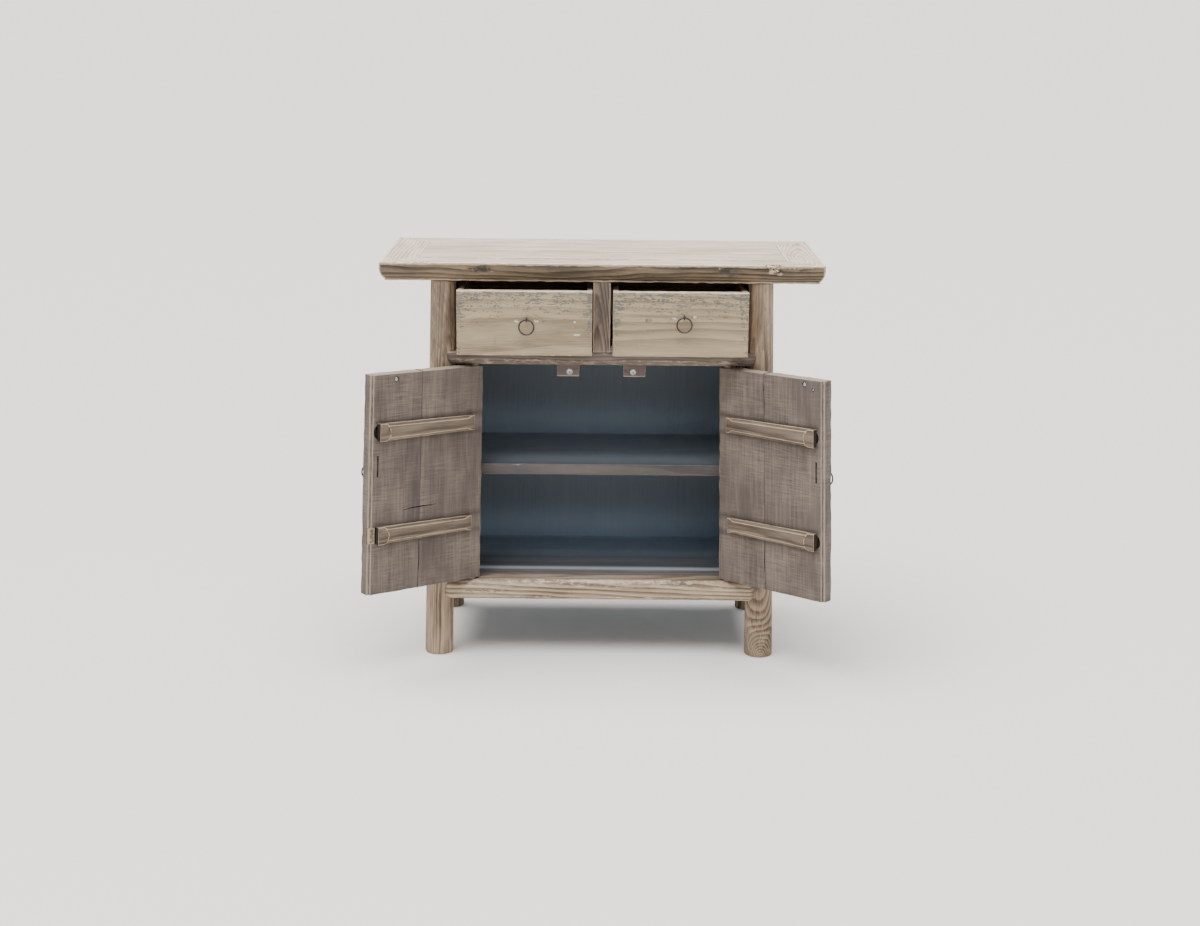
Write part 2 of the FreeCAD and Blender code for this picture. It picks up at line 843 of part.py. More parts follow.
def write_drawer(name, side):
    """All the pieces of one drawer."""
    back = drawer_back_block(0)
    side_board = drawer_side()
    far_board = side_board.mirror(V(drawer_width / 2, 0, 0), V(1, 0, 0))
    inner = "right_side" if side < 0 else "left_side"
    outer = "left_side" if side < 0 else "right_side"
    centre = drawer_pull_point(side)
    pieces = {
        "front": drawer_front_board(side),
        inner: side_board,
        outer: far_board,
        "back": back,
        "bottom": drawer_bottom_block(0),
        "pull_pin": split_pin(drawer_front_thickness, 0).translated(centre),
        "ring": pull_ring().translated(centre),
    }
    for piece, shape in pieces.items():
        save(name + "_" + piece, placed_drawer(shape, side))


# Ring pulls, drawn round the pin's axis along Y with the board's face at y = 0

def split_pin(board_thickness, prong_sink):
    """An eye on a shank through a board, its two prongs bent flat behind it."""
    eye_radius = eye_bore_radius + eye_wire_radius
    eye = wire_ring(V(0, -eye_standoff, 0), V(1, 0, 0), eye_radius, eye_wire_radius, eye_flat_count)
    behind = board_thickness - prong_sink
    shank_start = eye_standoff - eye_radius
    shank = Part.makeCylinder(shank_radius, behind + shank_start, V(0, -shank_start, 0), V(0, 1, 0))
    half_width = prong_width / 2
    prongs = box(-half_width, half_width, behind, behind + prong_thickness, -prong_length, prong_length)
    return eye.fuse(shank).fuse(prongs).removeSplitter()


def pull_ring():
    """The ring, hanging straight down from the bottom of the eye."""
    centre = V(0, -eye_standoff, -ring_drop - ring_radius)
    return wire_ring(centre, V(0, 1, 0), ring_radius, ring_wire_radius, ring_flat_count)


# Doors, drawn closed on the right and then swung open

def pivot_axis():
    """Direction of the right-hand door's axis, leaning with the post."""
    return V(-splay_slope, 0, 1)


def pivot_pin(z0, z1, radius):
    """A round pin or hole on the pivot axis between two heights."""
    base = V(pivot_x(z0), pivot_y, z0)
    run = V(pivot_x(z1), pivot_y, z1) - base
    return Part.makeCylinder(radius, run.Length, base, run)


def pivot_holes():
    """The two seats of a right-hand door's pins, in the rails above and below."""
    radius = pivot_radius + pivot_clearance
    low = pivot_pin(bottom_rail_top - lower_pivot_depth, bottom_rail_top + cut_overrun, radius)
    high = pivot_pin(drawer_rail_bottom - cut_overrun,
                     drawer_rail_bottom + upper_pivot_depth + upper_pivot_lift, radius)
    return low, high


def hinge_edge_outline():
    """The hinge board's section at the door's foot, its outer corner rounded on the pin."""
    edge = pivot_x(door_bottom) + pivot_edge
    inside = -cut_overrun

    def plane(u, v):
        return V(u, v, door_bottom)

    soft = arc(plane(edge - hinge_arris_round, door_inner_y),
               (edge - hinge_arris_round, door_inner_y - hinge_arris_round), hinge_arris_round, 90, 0, plane)
    turned = arc(plane(edge, door_outer_y + pivot_edge),
                 (edge - pivot_edge, door_outer_y + pivot_edge), pivot_edge, 0, -90, plane)
    return Part.Wire([
        soft,
        Part.makeLine(plane(edge, door_inner_y - hinge_arris_round), plane(edge, door_outer_y + pivot_edge)),
        turned,
        Part.makeLine(plane(edge - pivot_edge, door_outer_y), plane(inside, door_outer_y)),
        Part.makeLine(plane(inside, door_outer_y), plane(inside, door_inner_y)),
        Part.makeLine(plane(inside, door_inner_y), plane(edge - hinge_arris_round, door_inner_y)),
    ])


def seam_x(side):
    """Where a door's two boards meet, as a distance from the middle."""
    share = right_meeting_share if side > 0 else left_meeting_share
    return door_edge_x + share * (pivot_x(door_bottom) + pivot_edge - door_edge_x)


def batten_section(x, width, grow, low_y, rise):
    """A batten's section across the door at x: a dovetail key, and a cap of the same width."""
    half = width / 2 + grow
    neck = half - batten_neck_inset
    face = door_inner_y
    return [V(x, low_y, -half), V(x, face, -neck), V(x, face, -half), V(x, face + rise, -half),
            V(x, face + rise, half), V(x, face, half), V(x, face, neck), V(x, low_y, half)]


def batten_groove(height, start):
    """The tapered dovetail groove for a batten, from start to the batten's hinge end."""
    free = door_edge_x + batten_free_inset
    hinge = pivot_x(door_bottom) - batten_hinge_inset + joint_gap
    low_y = door_inner_y - batten_key_depth - joint_gap
    slope = (batten_narrow - batten_wide) / (hinge - free)
    start_width = batten_wide + slope * (start - free)
    outline = []
    for x, width in ((start, start_width), (hinge, batten_narrow)):
        half = width / 2 + joint_gap
        neck = half - batten_neck_inset
        outline.append([V(x, low_y, -half), V(x, door_inner_y + joint_gap, -neck),
                        V(x, door_inner_y + joint_gap, neck), V(x, low_y, half)])
    return faceted(outline).translated(V(0, 0, door_bottom + height))


def bevel_tool(sign):
    """The long stopped bevel along one edge of a batten's face."""
    free = door_edge_x + batten_free_inset
    hinge = pivot_x(door_bottom) - batten_hinge_inset
    face = door_inner_y + batten_rise
    sections = []
    for x, width, size in (
            (free + batten_bevel_start, batten_wide, batten_bevel * batten_start_share),
            (free + batten_bevel_full, batten_wide, batten_bevel),
            (hinge + cut_overrun, batten_narrow, batten_bevel)):
        edge = width / 2
        over = batten_bevel
        sections.append([V(x, face - size, sign * (edge + over)), V(x, face - size, sign * edge),
                         V(x, face, sign * (edge - size)), V(x, face + over, sign * (edge - size)),
                         V(x, face + over, sign * (edge + over))])
    return faceted(sections)


def door_batten(height):
    """A tapered batten with a square head at its free end and bevelled edges."""
    free = door_edge_x + batten_free_inset
    hinge = pivot_x(door_bottom) - batten_hinge_inset
    low_y = door_inner_y - batten_key_depth
    body = faceted([batten_section(free, batten_wide, 0, low_y, batten_rise),
                     batten_section(hinge, batten_narrow, 0, low_y, batten_rise)])
    for sign in (right_hand, left_hand):
        body = body.cut(bevel_tool(sign))
    return body.translated(V(0, 0, door_bottom + height))


def filler_block(height):
    """The short key that fills the mouth of the left door's lower groove."""
    end = door_edge_x + batten_free_inset - filler_gap
    groove = batten_groove(height, door_edge_x)
    keep = box(door_edge_x, end, door_inner_y - door_thickness, door_inner_y,
               door_bottom, door_top)
    return groove.common(keep)


def entry_pocket(height, reach):
    """The round mouth of a stopped groove, showing past the batten's free end."""
    centre_x = door_edge_x + batten_free_inset - reach + pocket_radius
    base = V(centre_x, door_inner_y - batten_key_depth - joint_gap, door_bottom + height)
    return Part.makeCylinder(pocket_radius, batten_key_depth + cut_overrun, base, V(0, 1, 0))


def batten_cuts(side):
    """Every cut that a door's two battens need."""
    cuts = []
    reaches = (left_pocket_reach, None) if side < 0 else (right_upper_pocket_reach, right_lower_pocket_reach)
    for height, reach in zip((upper_batten_height, lower_batten_height), reaches):
        if reach is None:
            cuts.append(batten_groove(height, door_edge_x - joint_gap))
        else:
            cuts.append(batten_groove(height, door_edge_x + batten_free_inset))
            cuts.append(entry_pocket(height, reach))
    return Part.makeCompound(cuts)


def hinge_board(side):
    """The board that carries the pins, its hinge edge leaning with the post."""
    body = Part.Face(hinge_edge_outline()).extrude(V(-splay_slope * door_height, 0, door_height))
    body = body.cut(box(-top_width, seam_x(side) + board_gap / 2, door_outer_y - cut_overrun,
                        door_inner_y + cut_overrun, door_bottom - cut_overrun, door_top + cut_overrun))
    low = bottom_rail_top - lower_pivot_depth + pivot_seat_gap
    high = drawer_rail_bottom + upper_pivot_depth
    body = body.fuse(pivot_pin(low, door_bottom + pivot_radius, pivot_radius))
    body = body.fuse(pivot_pin(door_top - pivot_radius, high, pivot_radius))
    return body.removeSplitter().cut(batten_cuts(side))


def door_pull_point():
    """Where the pull's pin goes through a closed door's outer face."""
    return V(door_edge_x + door_pull_inset, door_outer_y, door_bottom + door_pull_share * door_height)


def meeting_board(side):
    """The board at the middle of the front, rebated inside along its edge."""
    body = box(door_edge_x, seam_x(side) - board_gap / 2, door_outer_y, door_inner_y, door_bottom, door_top)
    near = door_edge_x + door_arris_round
    arrises = [edge for edge in body.Edges if edge.BoundBox.XMax < near and edge.BoundBox.YMax < pivot_y
               and edge.BoundBox.ZLength > door_thickness]
    body = body.makeFillet(door_arris_round, arrises)
    body = body.cut(box(door_edge_x - cut_overrun, door_edge_x + rebate_width,
                        door_inner_y - rebate_depth, door_inner_y + cut_overrun,
                        door_bottom - cut_overrun, door_top + cut_overrun))
    pull = door_pull_point()
    slot = box(pull.x - pull_slot_width / 2, pull.x + pull_slot_width / 2,
               door_inner_y - pull_slot_depth, door_inner_y + cut_overrun,
               pull.z - pull_slot_length / 2, pull.z + pull_slot_length / 2)
    return body.cut(batten_cuts(side)).cut(pull_hole(pull)).cut(slot)


def placed_door(shape, side):
    """Swing a closed right-hand door piece open, and put it on its own side."""
    angle = right_door_open_angle if side > 0 else left_door_open_angle
    turned = shape.copy()
    turned.rotate(V(pivot_floor_x, pivot_y, 0), pivot_axis(), angle)
    return on_side(turned, side)


def write_door(name, side):
    """All the pieces of one door."""
    battens = [door_batten(upper_batten_height), door_batten(lower_batten_height)]
    if side < 0:
        battens.append(filler_block(lower_batten_height))
    pull = door_pull_point()
    pieces = {
        "hinge_board": hinge_board(side),
        "meeting_board": meeting_board(side),
        "battens": Part.makeCompound(battens),
        "pull_pin": split_pin(door_thickness, pull_slot_depth).translated(pull),
        "ring": pull_ring().translated(pull),
    }
    for piece, shape in pieces.items():
        save(name + "_" + piece, placed_door(shape, side))


# Catch blocks

def catch_block():
    """A stop under the drawer rail with a seat for its magnet."""
    front = door_inner_y + catch_door_gap
    low = drawer_rail_bottom - catch_height
    half = catch_width / 2
    body = box(catch_centre_x - half, catch_centre_x + half, front, front + catch_depth, low, drawer_rail_bottom)
    lower = [edge for edge in body.Edges if edge.BoundBox.ZMax < low + catch_corner_cut]
    body = body.makeChamfer(catch_corner_cut, lower)
    return body.cut(magnet(joint_gap))


def magnet(grow):
    """The round magnet, flush with the catch block's face."""
    front = door_inner_y + catch_door_gap
    base = V(magnet_centre_x, front, drawer_rail_bottom - magnet_drop)
    return Part.makeCylinder(magnet_radius + grow, magnet_depth + grow, base, V(0, 1, 0))


# The fixed case

def post_joints(front):
    """Everything that is let into a right-hand post."""
    side_low = side_board_envelope(bottom_rail_top, drawer_rail_bottom, joint_gap)
    side_high = side_board_envelope(drawer_rail_top, top_underside - board_tongue - joint_gap, joint_gap)
    cuts = [side_low, side_high]
    for z in (drawer_rail_bottom + drawer_rail_height / 2, bottom_rail_bottom + bottom_rail_height / 2):
        tenons = [long_tenon(z, joint_gap), side_tenon(z, joint_gap)]
        cuts += tenons if front else [turned_back(tenon) for tenon in tenons]
    if front:
        cuts.append(jamb_block(joint_gap))
    else:
        cuts.append(back_board_envelope(bottom_rail_top, drawer_rail_bottom, joint_gap))
        cuts.append(back_board_envelope(drawer_rail_top, top_underside - board_tongue - joint_gap, joint_gap))
    return cuts


def write_posts():
    """The four posts."""
    for place, front in (("front", True), ("rear", False)):
        shape = post(front, post_joints(front))
        save(place + "_right_leg", shape)
        save(place + "_left_leg", mirrored(shape))


def write_top():
    """The top frame, its boards and its battens."""
    front = top_front_member()
    end = top_end_member()
    back = turned_back(front).cut(back_board_envelope(drawer_rail_top, top_underside, joint_gap))
    front = front.cut(divider(joint_gap))
    save("top_front_rail", front)
    save("top_back_rail", back)
    save("top_right_end", end)
    save("top_left_end", mirrored(end))
    save("top_panel", top_panel())
    save("top_battens", top_battens())


def runner_mortises():
    """The runners' stub tenons, grown to cut their mortises."""
    cuts = [runner_tenons(-runner_width / 2, runner_width / 2, joint_gap)]
    for side in (right_hand, left_hand):
        inner, outer = side_runner_span(side)
        cuts.append(on_side(runner_tenons(inner, outer - runner_width / 2, joint_gap), side))
    return Part.makeCompound(cuts)


def write_rails():
    """The front, back and side rails."""
    mortises = runner_mortises()
    low_hole, high_hole = pivot_holes()
    floor = floor_envelope(0)
    drawer_rail = drawer_rail_shape().cut(mortises)
    bottom_rail = bottom_rail_shape().cut(floor)
    low_back = back_board_envelope(bottom_rail_top, drawer_rail_bottom, joint_gap)
    high_back = back_board_envelope(drawer_rail_top, top_underside, joint_gap)
    save("rear_drawer_rail", turned_back(drawer_rail).cut(low_back).cut(high_back))
    save("rear_bottom_rail", turned_back(bottom_rail).cut(low_back))
    holed = drawer_rail.cut(high_hole).cut(mirrored(high_hole)).cut(divider(joint_gap))
    save("drawer_rail", holed)
    save("bottom_rail", bottom_rail.cut(low_hole).cut(mirrored(low_hole)))
    low_side = side_board_envelope(bottom_rail_top, drawer_rail_bottom, joint_gap)
    high_side = side_board_envelope(drawer_rail_top, top_underside, joint_gap)
    upper = side_rail_shape(drawer_rail_bottom, drawer_rail_height, drawer_rail_back)
    upper = upper.cut(low_side).cut(high_side)
    lower = side_rail_shape(bottom_rail_bottom, bottom_rail_height, bottom_rail_back)
    lower = lower.cut(low_side).cut(floor)
    save("right_drawer_side_rail", upper)
    save("left_drawer_side_rail", mirrored(upper))
    save("right_bottom_side_rail", lower)
    save("left_bottom_side_rail", mirrored(lower))


def write_boards():
    """Side, back, floor and shelf boards, jambs and bearers."""
    low = side_board_envelope(bottom_rail_top, drawer_rail_bottom, 0)
    half_depth = post_spread_y
    side_panel = split_boards(low, "y", [side_board_seam_share * half_depth])
    upper = upper_side_board()
    jamb = jamb_block(0)
    for side, name in ((right_hand, "right"), (left_hand, "left")):
        save(name + "_side_panel", on_side(side_panel, side))
        save(name + "_upper_side_board", on_side(upper, side))
        save(name + "_jamb", on_side(jamb, side))
        save(name + "_runner", on_side(side_runner(side), side))
    half_width = post_x(bottom_rail_top)
    back = back_board_envelope(bottom_rail_top, drawer_rail_bottom, 0)
    save("back_panel", split_boards(back, "x", [share * half_width for share in back_board_seam_shares]))
    save("upper_back_board", back_board_envelope(drawer_rail_top, top_underside, 0))
    save("floor_boards", floor_boards())
    save("shelf", shelf_boards())
    save("shelf_bearers", shelf_bearers())
    save("centre_runner", centre_runner())
    save("drawer_divider", divider(0))
    block = catch_block()
    save("catch_blocks", Part.makeCompound([block, mirrored(block)]))
    disc = magnet(0)
    save("catch_magnets", Part.makeCompound([disc, mirrored(disc)]))


write_posts()
write_top()
write_rails()
write_boards()
for drawer_name, drawer_sign in (("right_drawer", right_hand), ("left_drawer", left_hand)):
    write_drawer(drawer_name, drawer_sign)
for door_name, door_sign in (("right_door", right_hand), ("left_door", left_hand)):
    write_door(door_name, door_sign)
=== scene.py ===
import logging
import math
from dataclasses import dataclass, field
from enum import Enum
from typing import Callable, Sequence

import bmesh
import bpy
import numpy as np
from mathutils import Matrix, Vector, bvhtree, kdtree, noise


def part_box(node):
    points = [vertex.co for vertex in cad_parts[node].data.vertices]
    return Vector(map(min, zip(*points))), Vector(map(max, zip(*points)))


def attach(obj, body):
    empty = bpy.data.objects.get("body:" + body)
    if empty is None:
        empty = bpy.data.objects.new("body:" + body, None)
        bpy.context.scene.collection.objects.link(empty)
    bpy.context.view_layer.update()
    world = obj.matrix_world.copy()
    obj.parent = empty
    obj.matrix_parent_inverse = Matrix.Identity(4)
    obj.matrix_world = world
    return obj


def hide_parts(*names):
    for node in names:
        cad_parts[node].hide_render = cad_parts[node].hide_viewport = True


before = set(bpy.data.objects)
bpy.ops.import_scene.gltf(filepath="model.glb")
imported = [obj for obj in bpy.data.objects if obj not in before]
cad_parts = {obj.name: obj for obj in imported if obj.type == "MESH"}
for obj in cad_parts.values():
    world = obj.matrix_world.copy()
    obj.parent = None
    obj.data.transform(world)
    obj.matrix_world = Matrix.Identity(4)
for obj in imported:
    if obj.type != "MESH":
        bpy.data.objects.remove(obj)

# Looks of a low wooden cabinet with two drawers and two doors, in metres. The row frame has
# +X to the cabinet's right, -Y to its front and +Z up. Boards are drawn in their own axes,
# x along the grain, and then moved to their places.

LOG = logging.getLogger("cabinet")
Array = np.ndarray
Colour = tuple[float, float, float, float]
Placing = Callable[[Array], Array]
Outliner = Callable[[float], Array]


def tone(red: int, green: int, blue: int) -> Colour:
    """A colour in everyday 0-255 steps, as the linear colour that shaders need."""
    def linear(step: int) -> float:
        """One channel without its display curve."""
        value = step / 255
        return value / 12.92 if value <= 0.04045 else ((value + 0.055) / 1.055) ** 2.4
    return (linear(red), linear(green), linear(blue), 1.0)


# Sizes that several pieces share

@dataclass(frozen=True)
class Body:
    """The cabinet's main sizes and its leaning lines."""

    top_width: float = 0.950
    top_depth: float = 0.420
    height: float = 0.880
    underside: float = 0.839
    spread_x: float = 0.3576
    spread_y: float = 0.170
    slope: float = math.tan(math.radians(1.17))
    foot_radius: float = 0.0315
    head_radius: float = 0.0275
    drawer_rail_bottom: float = 0.6565
    drawer_rail_top: float = 0.6865
    bottom_rail_bottom: float = 0.1295
    bottom_rail_top: float = 0.174
    pivot_floor_x: float = 0.2866
    pivot_y: float = -0.1785

    def post_x(self, z: Array | float) -> Array | float:
        """Distance of a post's axis from the middle at a height."""
        return self.spread_x - z * self.slope

    def post_radius(self, z: Array | float) -> Array | float:
        """A post's radius at a height."""
        return self.foot_radius + (self.head_radius - self.foot_radius) * z / self.underside

    def pivot_x(self, z: Array | float) -> Array | float:
        """Distance of a door's pivot axis from the middle at a height."""
        return self.pivot_floor_x - z * self.slope


BODY = Body()


class Side(Enum):
    """Which side of the cabinet a piece belongs to, seen from the front."""

    LEFT = -1
    RIGHT = 1

    @property
    def word(self) -> str:
        """The side's name as it stands in piece names."""
        return self.name.lower()


# Outlines and blanks

def run_points(start: Array, end: Array, spacing: float, band: float, parts: int | None) -> list[Array]:
    """Points along a straight run, the outer two close to its ends so that wear stays narrow.

    Args:
        start: the run's first end.
        end: its last end.
        spacing: greatest distance between points.
        band: distance of the outer points from the ends.
        parts: number of equal steps between the outer points, or None to follow the spacing.

    Returns:
        The points without the two ends.
    """
    run = end - start
    length = float(np.linalg.norm(run))
    if parts is None:
        if length < 2.5 * band:
            parts = max(1, math.ceil(length / spacing))
            return [start + run * part / parts for part in range(1, parts)]
        parts = max(1, math.ceil((length - 2 * band) / spacing))
    share = min(band / max(length, 1e-9), 0.3)
    near, far = start + run * share, end - run * share
    return [near + (far - near) * part / parts for part in range(parts + 1)]


def rounded_outline(corners: Sequence[tuple[float, float, float]], spacing: float, steps: int = 4,
                    band: float = 0.003, parts: Sequence[int] | None = None) -> Array:
    """A closed outline with rounded corners and points along its straight runs.

    Args:
        corners: (u, v, radius) of each corner, anticlockwise.
        spacing: greatest distance between points on a straight run.
        steps: number of short chords in each rounded corner.
        band: distance from each corner to the next point of a run.
        parts: number of steps in each run, for sections that must all have as many points.

    Returns:
        The outline's points, one row each.
    """
    count = len(corners)
    pieces: list[list[Array]] = []
    for index, (u, v, radius) in enumerate(corners):
        here = np.array([u, v])
        before = np.array(corners[index - 1][:2]) - here
        after = np.array(corners[(index + 1) % count][:2]) - here
        before /= np.linalg.norm(before)
        after /= np.linalg.norm(after)
        if radius <= 0:
            pieces.append([here])
            continue
        half = math.acos(max(-1.0, min(1.0, float(before @ after)))) / 2
        start = here + before * radius / math.tan(half)
        end = here + after * radius / math.tan(half)
        middle = (before + after) / np.linalg.norm(before + after)
        centre = here + middle * radius / math.sin(half)
        points = []
        for step in range(steps + 1):
            share = step / steps
            arm = (start - centre) * (1 - share) + (end - centre) * share
            points.append(centre + arm * radius / np.linalg.norm(arm))
        pieces.append(points)
    outline: list[Array] = []
    for index, points in enumerate(pieces):
        fixed = parts[index] if parts else None
        outline += points + run_points(points[-1], pieces[(index + 1) % count][0], spacing, band, fixed)
    return np.array(outline)


def box_outline(width: float, depth: float, radius: float, spacing: float) -> Array:
    """A rounded rectangle from (0, 0) to (width, depth)."""
    return rounded_outline([(0, 0, radius), (width, 0, radius), (width, depth, radius),
                            (0, depth, radius)], spacing)


def circle_outline(radius: float, count: int) -> Array:
    """A circle round (0, 0)."""
    turns = np.linspace(0, 2 * math.pi, count, endpoint=False)
    return np.column_stack([np.cos(turns), np.sin(turns)]) * radius


def corner_normals(outline: Array) -> Array:
    """Outward direction at each point of an anticlockwise outline."""
    edges = np.roll(outline, -1, axis=0) - outline
    edges /= np.linalg.norm(edges, axis=1, keepdims=True)
    normals = np.column_stack([edges[:, 1], -edges[:, 0]])
    joined = normals + np.roll(normals, 1, axis=0)
    return joined / np.linalg.norm(joined, axis=1, keepdims=True)


def arris_weights(outline: Array, band: float) -> Array:
    """How near each point of an outline is to a sharp outer corner, from 0 to 1."""
    edges = np.roll(outline, -1, axis=0) - outline
    angles = np.arctan2(edges[:, 1], edges[:, 0])
    turns = (angles - np.roll(angles, 1) + math.pi) % (2 * math.pi) - math.pi
    sharp = outline[turns > math.radians(8)]
    if not len(sharp):
        return np.zeros(len(outline))
    gaps = np.linalg.norm(outline[:, None, :] - sharp[None, :, :], axis=2).min(axis=1)
    return np.clip(1 - gaps / band, 0, 1)


@dataclass(frozen=True)
class Mark:
    """A hollow, chip or stain on a board, in the board's own axes."""

    centre: tuple[float, float, float]
    reach: tuple[float, float, float]
    depth: float = 0.0
    wear: float = 0.0
    soil: float = 0.0
    stain: float = 0.0


@dataclass(frozen=True)
class Weathering:
    """How far a surface has shrunk and worn, in metres; all of it is inward."""

    ripple: float = 0.0003
    ripple_length: float = 0.12
    ripple_width: float = 0.03
    arris: float = 0.0009
    arris_length: float = 0.02
    seed: float = 0.0


@dataclass
class Blank:
    """One closed mesh with the marks that its finish reads at each point."""

    points: Array
    faces: list[list[int]]
    grain: Array
    wear: Array
    # Dirt, and painted shade where parts meet.
    soil: Array
    # Paint specks or coat; on a solid coat, values above 1 are painted shade.
    stain: Array
    hollow: Array

    @classmethod
    def plain(cls, points: Array, faces: list[list[int]]) -> "Blank":
        """A blank whose grain follows its own axes, without wear."""
        nothing = np.zeros(len(points))
        return cls(points, faces, points.copy(), nothing.copy(), nothing.copy(), nothing.copy(),
                   np.zeros(len(faces)))

    @classmethod
    def board(cls, length: float, outline: Array | Outliner, spacing: float = 0.012,
              end_round: float = 0.0008, band: float = 0.004, extra: Sequence[float] = ()) -> "Blank":
        """A board swept along x from 0 to its length, with softened ends.

        Args:
            length: the board's length.
            outline: its section, or a function that gives the section at x.
            spacing: distance between stations along the board.
            end_round: radius of the arrises round its two ends.
            band: how far wear reaches from an arris.
            extra: more stations, where detail is wanted.

        Returns:
            The board's blank.
        """
        at: Outliner = outline if callable(outline) else lambda _x: outline
        steps = 3 if end_round > 0 else 0
        turns = [math.pi / 2 * step / steps for step in range(steps)]
        softened = [(end_round * (1 - math.cos(turn)), end_round * (1 - math.sin(turn))) for turn in turns]
        parts = max(1, math.ceil((length - 2 * end_round) / spacing))
        inner = [end_round + (length - 2 * end_round) * part / parts for part in range(parts + 1)]
        near = [value for value in (band, length - band, *extra) if end_round < value < length - end_round]
        stations = softened + [(x, 0.0) for x in sorted(inner + near)]
        stations += [(length - x, inset) for x, inset in reversed(softened)]
        points, wear = [], []
        for x, inset in stations:
            section = at(x)
            weights = arris_weights(section, band)
            ends = max(0.0, 1 - min(x, length - x) / band)
            section = section - corner_normals(section) * inset
            points.append(np.column_stack([np.full(len(section), x), section]))
            wear.append(np.maximum(weights, ends))
        count = len(points[0])
        faces = [list(range(count))[::-1]]
        for ring in range(len(stations) - 1):
            low, high = ring * count, (ring + 1) * count
            for corner in range(count):
                after = (corner + 1) % count
                faces.append([low + corner, low + after, high + after, high + corner])
        faces.append([(len(stations) - 1) * count + corner for corner in range(count)])
        made = cls.plain(np.concatenate(points), faces)
        made.wear = np.concatenate(wear)
        return made

    @classmethod
    def of_mesh(cls, mesh: bpy.types.Mesh) -> "Blank":
        """A blank from a Blender mesh, which is then removed."""
        points = np.empty(len(mesh.vertices) * 3)
        mesh.vertices.foreach_get("co", points)
        faces = [list(polygon.vertices) for polygon in mesh.polygons]
        bpy.data.meshes.remove(mesh)
        return cls.plain(points.reshape(-1, 3), faces)

    @classmethod
    def joined(cls, blanks: Sequence["Blank"]) -> "Blank":
        """Several blanks as one."""
        faces: list[list[int]] = []
        start = 0
        for blank in blanks:
            faces += [[start + corner for corner in face] for face in blank.faces]
            start += len(blank.points)
        stacks = [np.concatenate([getattr(blank, key) for blank in blanks])
                  for key in ("points", "grain", "wear", "soil", "stain", "hollow")]
        return cls(stacks[0], faces, *stacks[1:])

    def mesh(self, name: str) -> bpy.types.Mesh:
        """The blank as a plain Blender mesh."""
        made = bpy.data.meshes.new(name)
        made.from_pydata(self.points.tolist(), [], self.faces)
        made.update()
        return made

    def normals(self) -> Array:
        """Outward direction at each point."""
        made = self.mesh("normals")
        values = np.empty(len(self.points) * 3)
        made.vertex_normals.foreach_get("vector", values)
        bpy.data.meshes.remove(made)
        return values.reshape(-1, 3)

    def figured(self, heart: tuple[float, float, float], tilt: tuple[float, float] = (0.0, 0.0),
                arches: tuple[float, float] | None = None) -> "Blank":
        """Set where the tree's heart lies, so that each board shows its own figure.

        Args:
            heart: shift of the grain along the board, and from its corner to the heart.
            tilt: how fast the heart wanders off across the board, in u and v.
            arches: how far and how soon the heart runs in from the front face at the board's start.

        Returns:
            The same blank.
        """
        along = self.points[:, 0]
        bend = np.zeros(len(along))
        if arches:
            bend = arches[0] * np.exp(-along / arches[1])
        self.grain = np.column_stack([along + heart[0], self.points[:, 1] - heart[1] + tilt[0] * along,
                                      self.points[:, 2] - heart[2] + tilt[1] * along + bend])
        return self

    def marked(self, marks: Sequence[Mark]) -> "Blank":
        """Press hollows in and lay stains on, and return the same blank."""
        if not marks:
            return self
        normals = self.normals()
        for mark in marks:
            offsets = (self.points - np.array(mark.centre)) / np.array(mark.reach)
            away = np.linalg.norm(offsets, axis=1)
            ragged = np.zeros(len(away))
            for index in np.flatnonzero(away < 1.6):
                ragged[index] = 0.55 * noise.fractal(Vector(self.points[index] * 190), 0.9, 2.1, 3)
            share = np.clip(1 + ragged - away, 0, 1)
            share = share * share * (3 - 2 * share)
            self.points = self.points - normals * (share * mark.depth)[:, None]
            self.wear = np.clip(self.wear + share * mark.wear, 0, 1.5)
            self.soil = np.clip(self.soil + share * mark.soil, 0, 1.5)
            self.stain = np.clip(self.stain + share * mark.stain, 0, 1.5)
        return self

    def softened(self, directions: Array, rounds: int) -> Array:
        """Directions at the points, each evened out with its neighbours' a number of times."""
        ends = np.array([(face[index - 1], face[index]) for face in self.faces for index in range(len(face))])
        first, last = ends[:, 0], ends[:, 1]
        for _ in range(rounds):
            total = directions.copy()
            np.add.at(total, first, directions[last])
            np.add.at(total, last, directions[first])
            directions = total / np.maximum(np.linalg.norm(total, axis=1, keepdims=True), 1e-9)
        return directions

    def weathered(self, wear: Weathering) -> "Blank":
        """Plane the surface by hand: long shallow hollows, and arrises rubbed away unevenly."""
        normals = self.normals()
        diagonals = self.softened(normals, 4)
        lengths = np.array([wear.ripple_length, wear.ripple_width, wear.ripple_width])
        shift = np.array([wear.seed, 0.7 * wear.seed, 1.3 * wear.seed])
        broad = np.array([noise.noise(Vector(point)) for point in self.points / lengths + shift])
        fine = np.array([noise.noise(Vector(point)) for point in self.points / wear.arris_length - shift])
        loss = wear.ripple * (0.5 + 0.5 * broad)
        rubbed = wear.arris * self.wear ** 2 * np.clip(0.35 + fine, 0, 1)
        self.points = self.points - normals * loss[:, None] - diagonals * rubbed[:, None]
        return self

    def jointed(self, wear: Weathering, low: bool = True, high: bool = True) -> "Blank":
        """Weather the board but keep the edges that meet other boards where they are.

        Args:
            wear: how far the surface has worn.
            low: whether the edge at the lowest u meets another board.
            high: whether the edge at the highest u does.

        Returns:
            The same blank.
        """
        before = self.points[:, 1].copy()
        held = np.zeros(len(before), dtype=bool)
        if low:
            held |= before < before.min() + 0.0009
        if high:
            held |= before > before.max() - 0.0009
        self.wear = np.where(held, 0.0, self.wear)
        self.soil = np.where(held, np.maximum(self.soil, 0.6), self.soil)
        self.weathered(wear)
        self.points[:, 1] = np.where(held, before, self.points[:, 1])
        return self

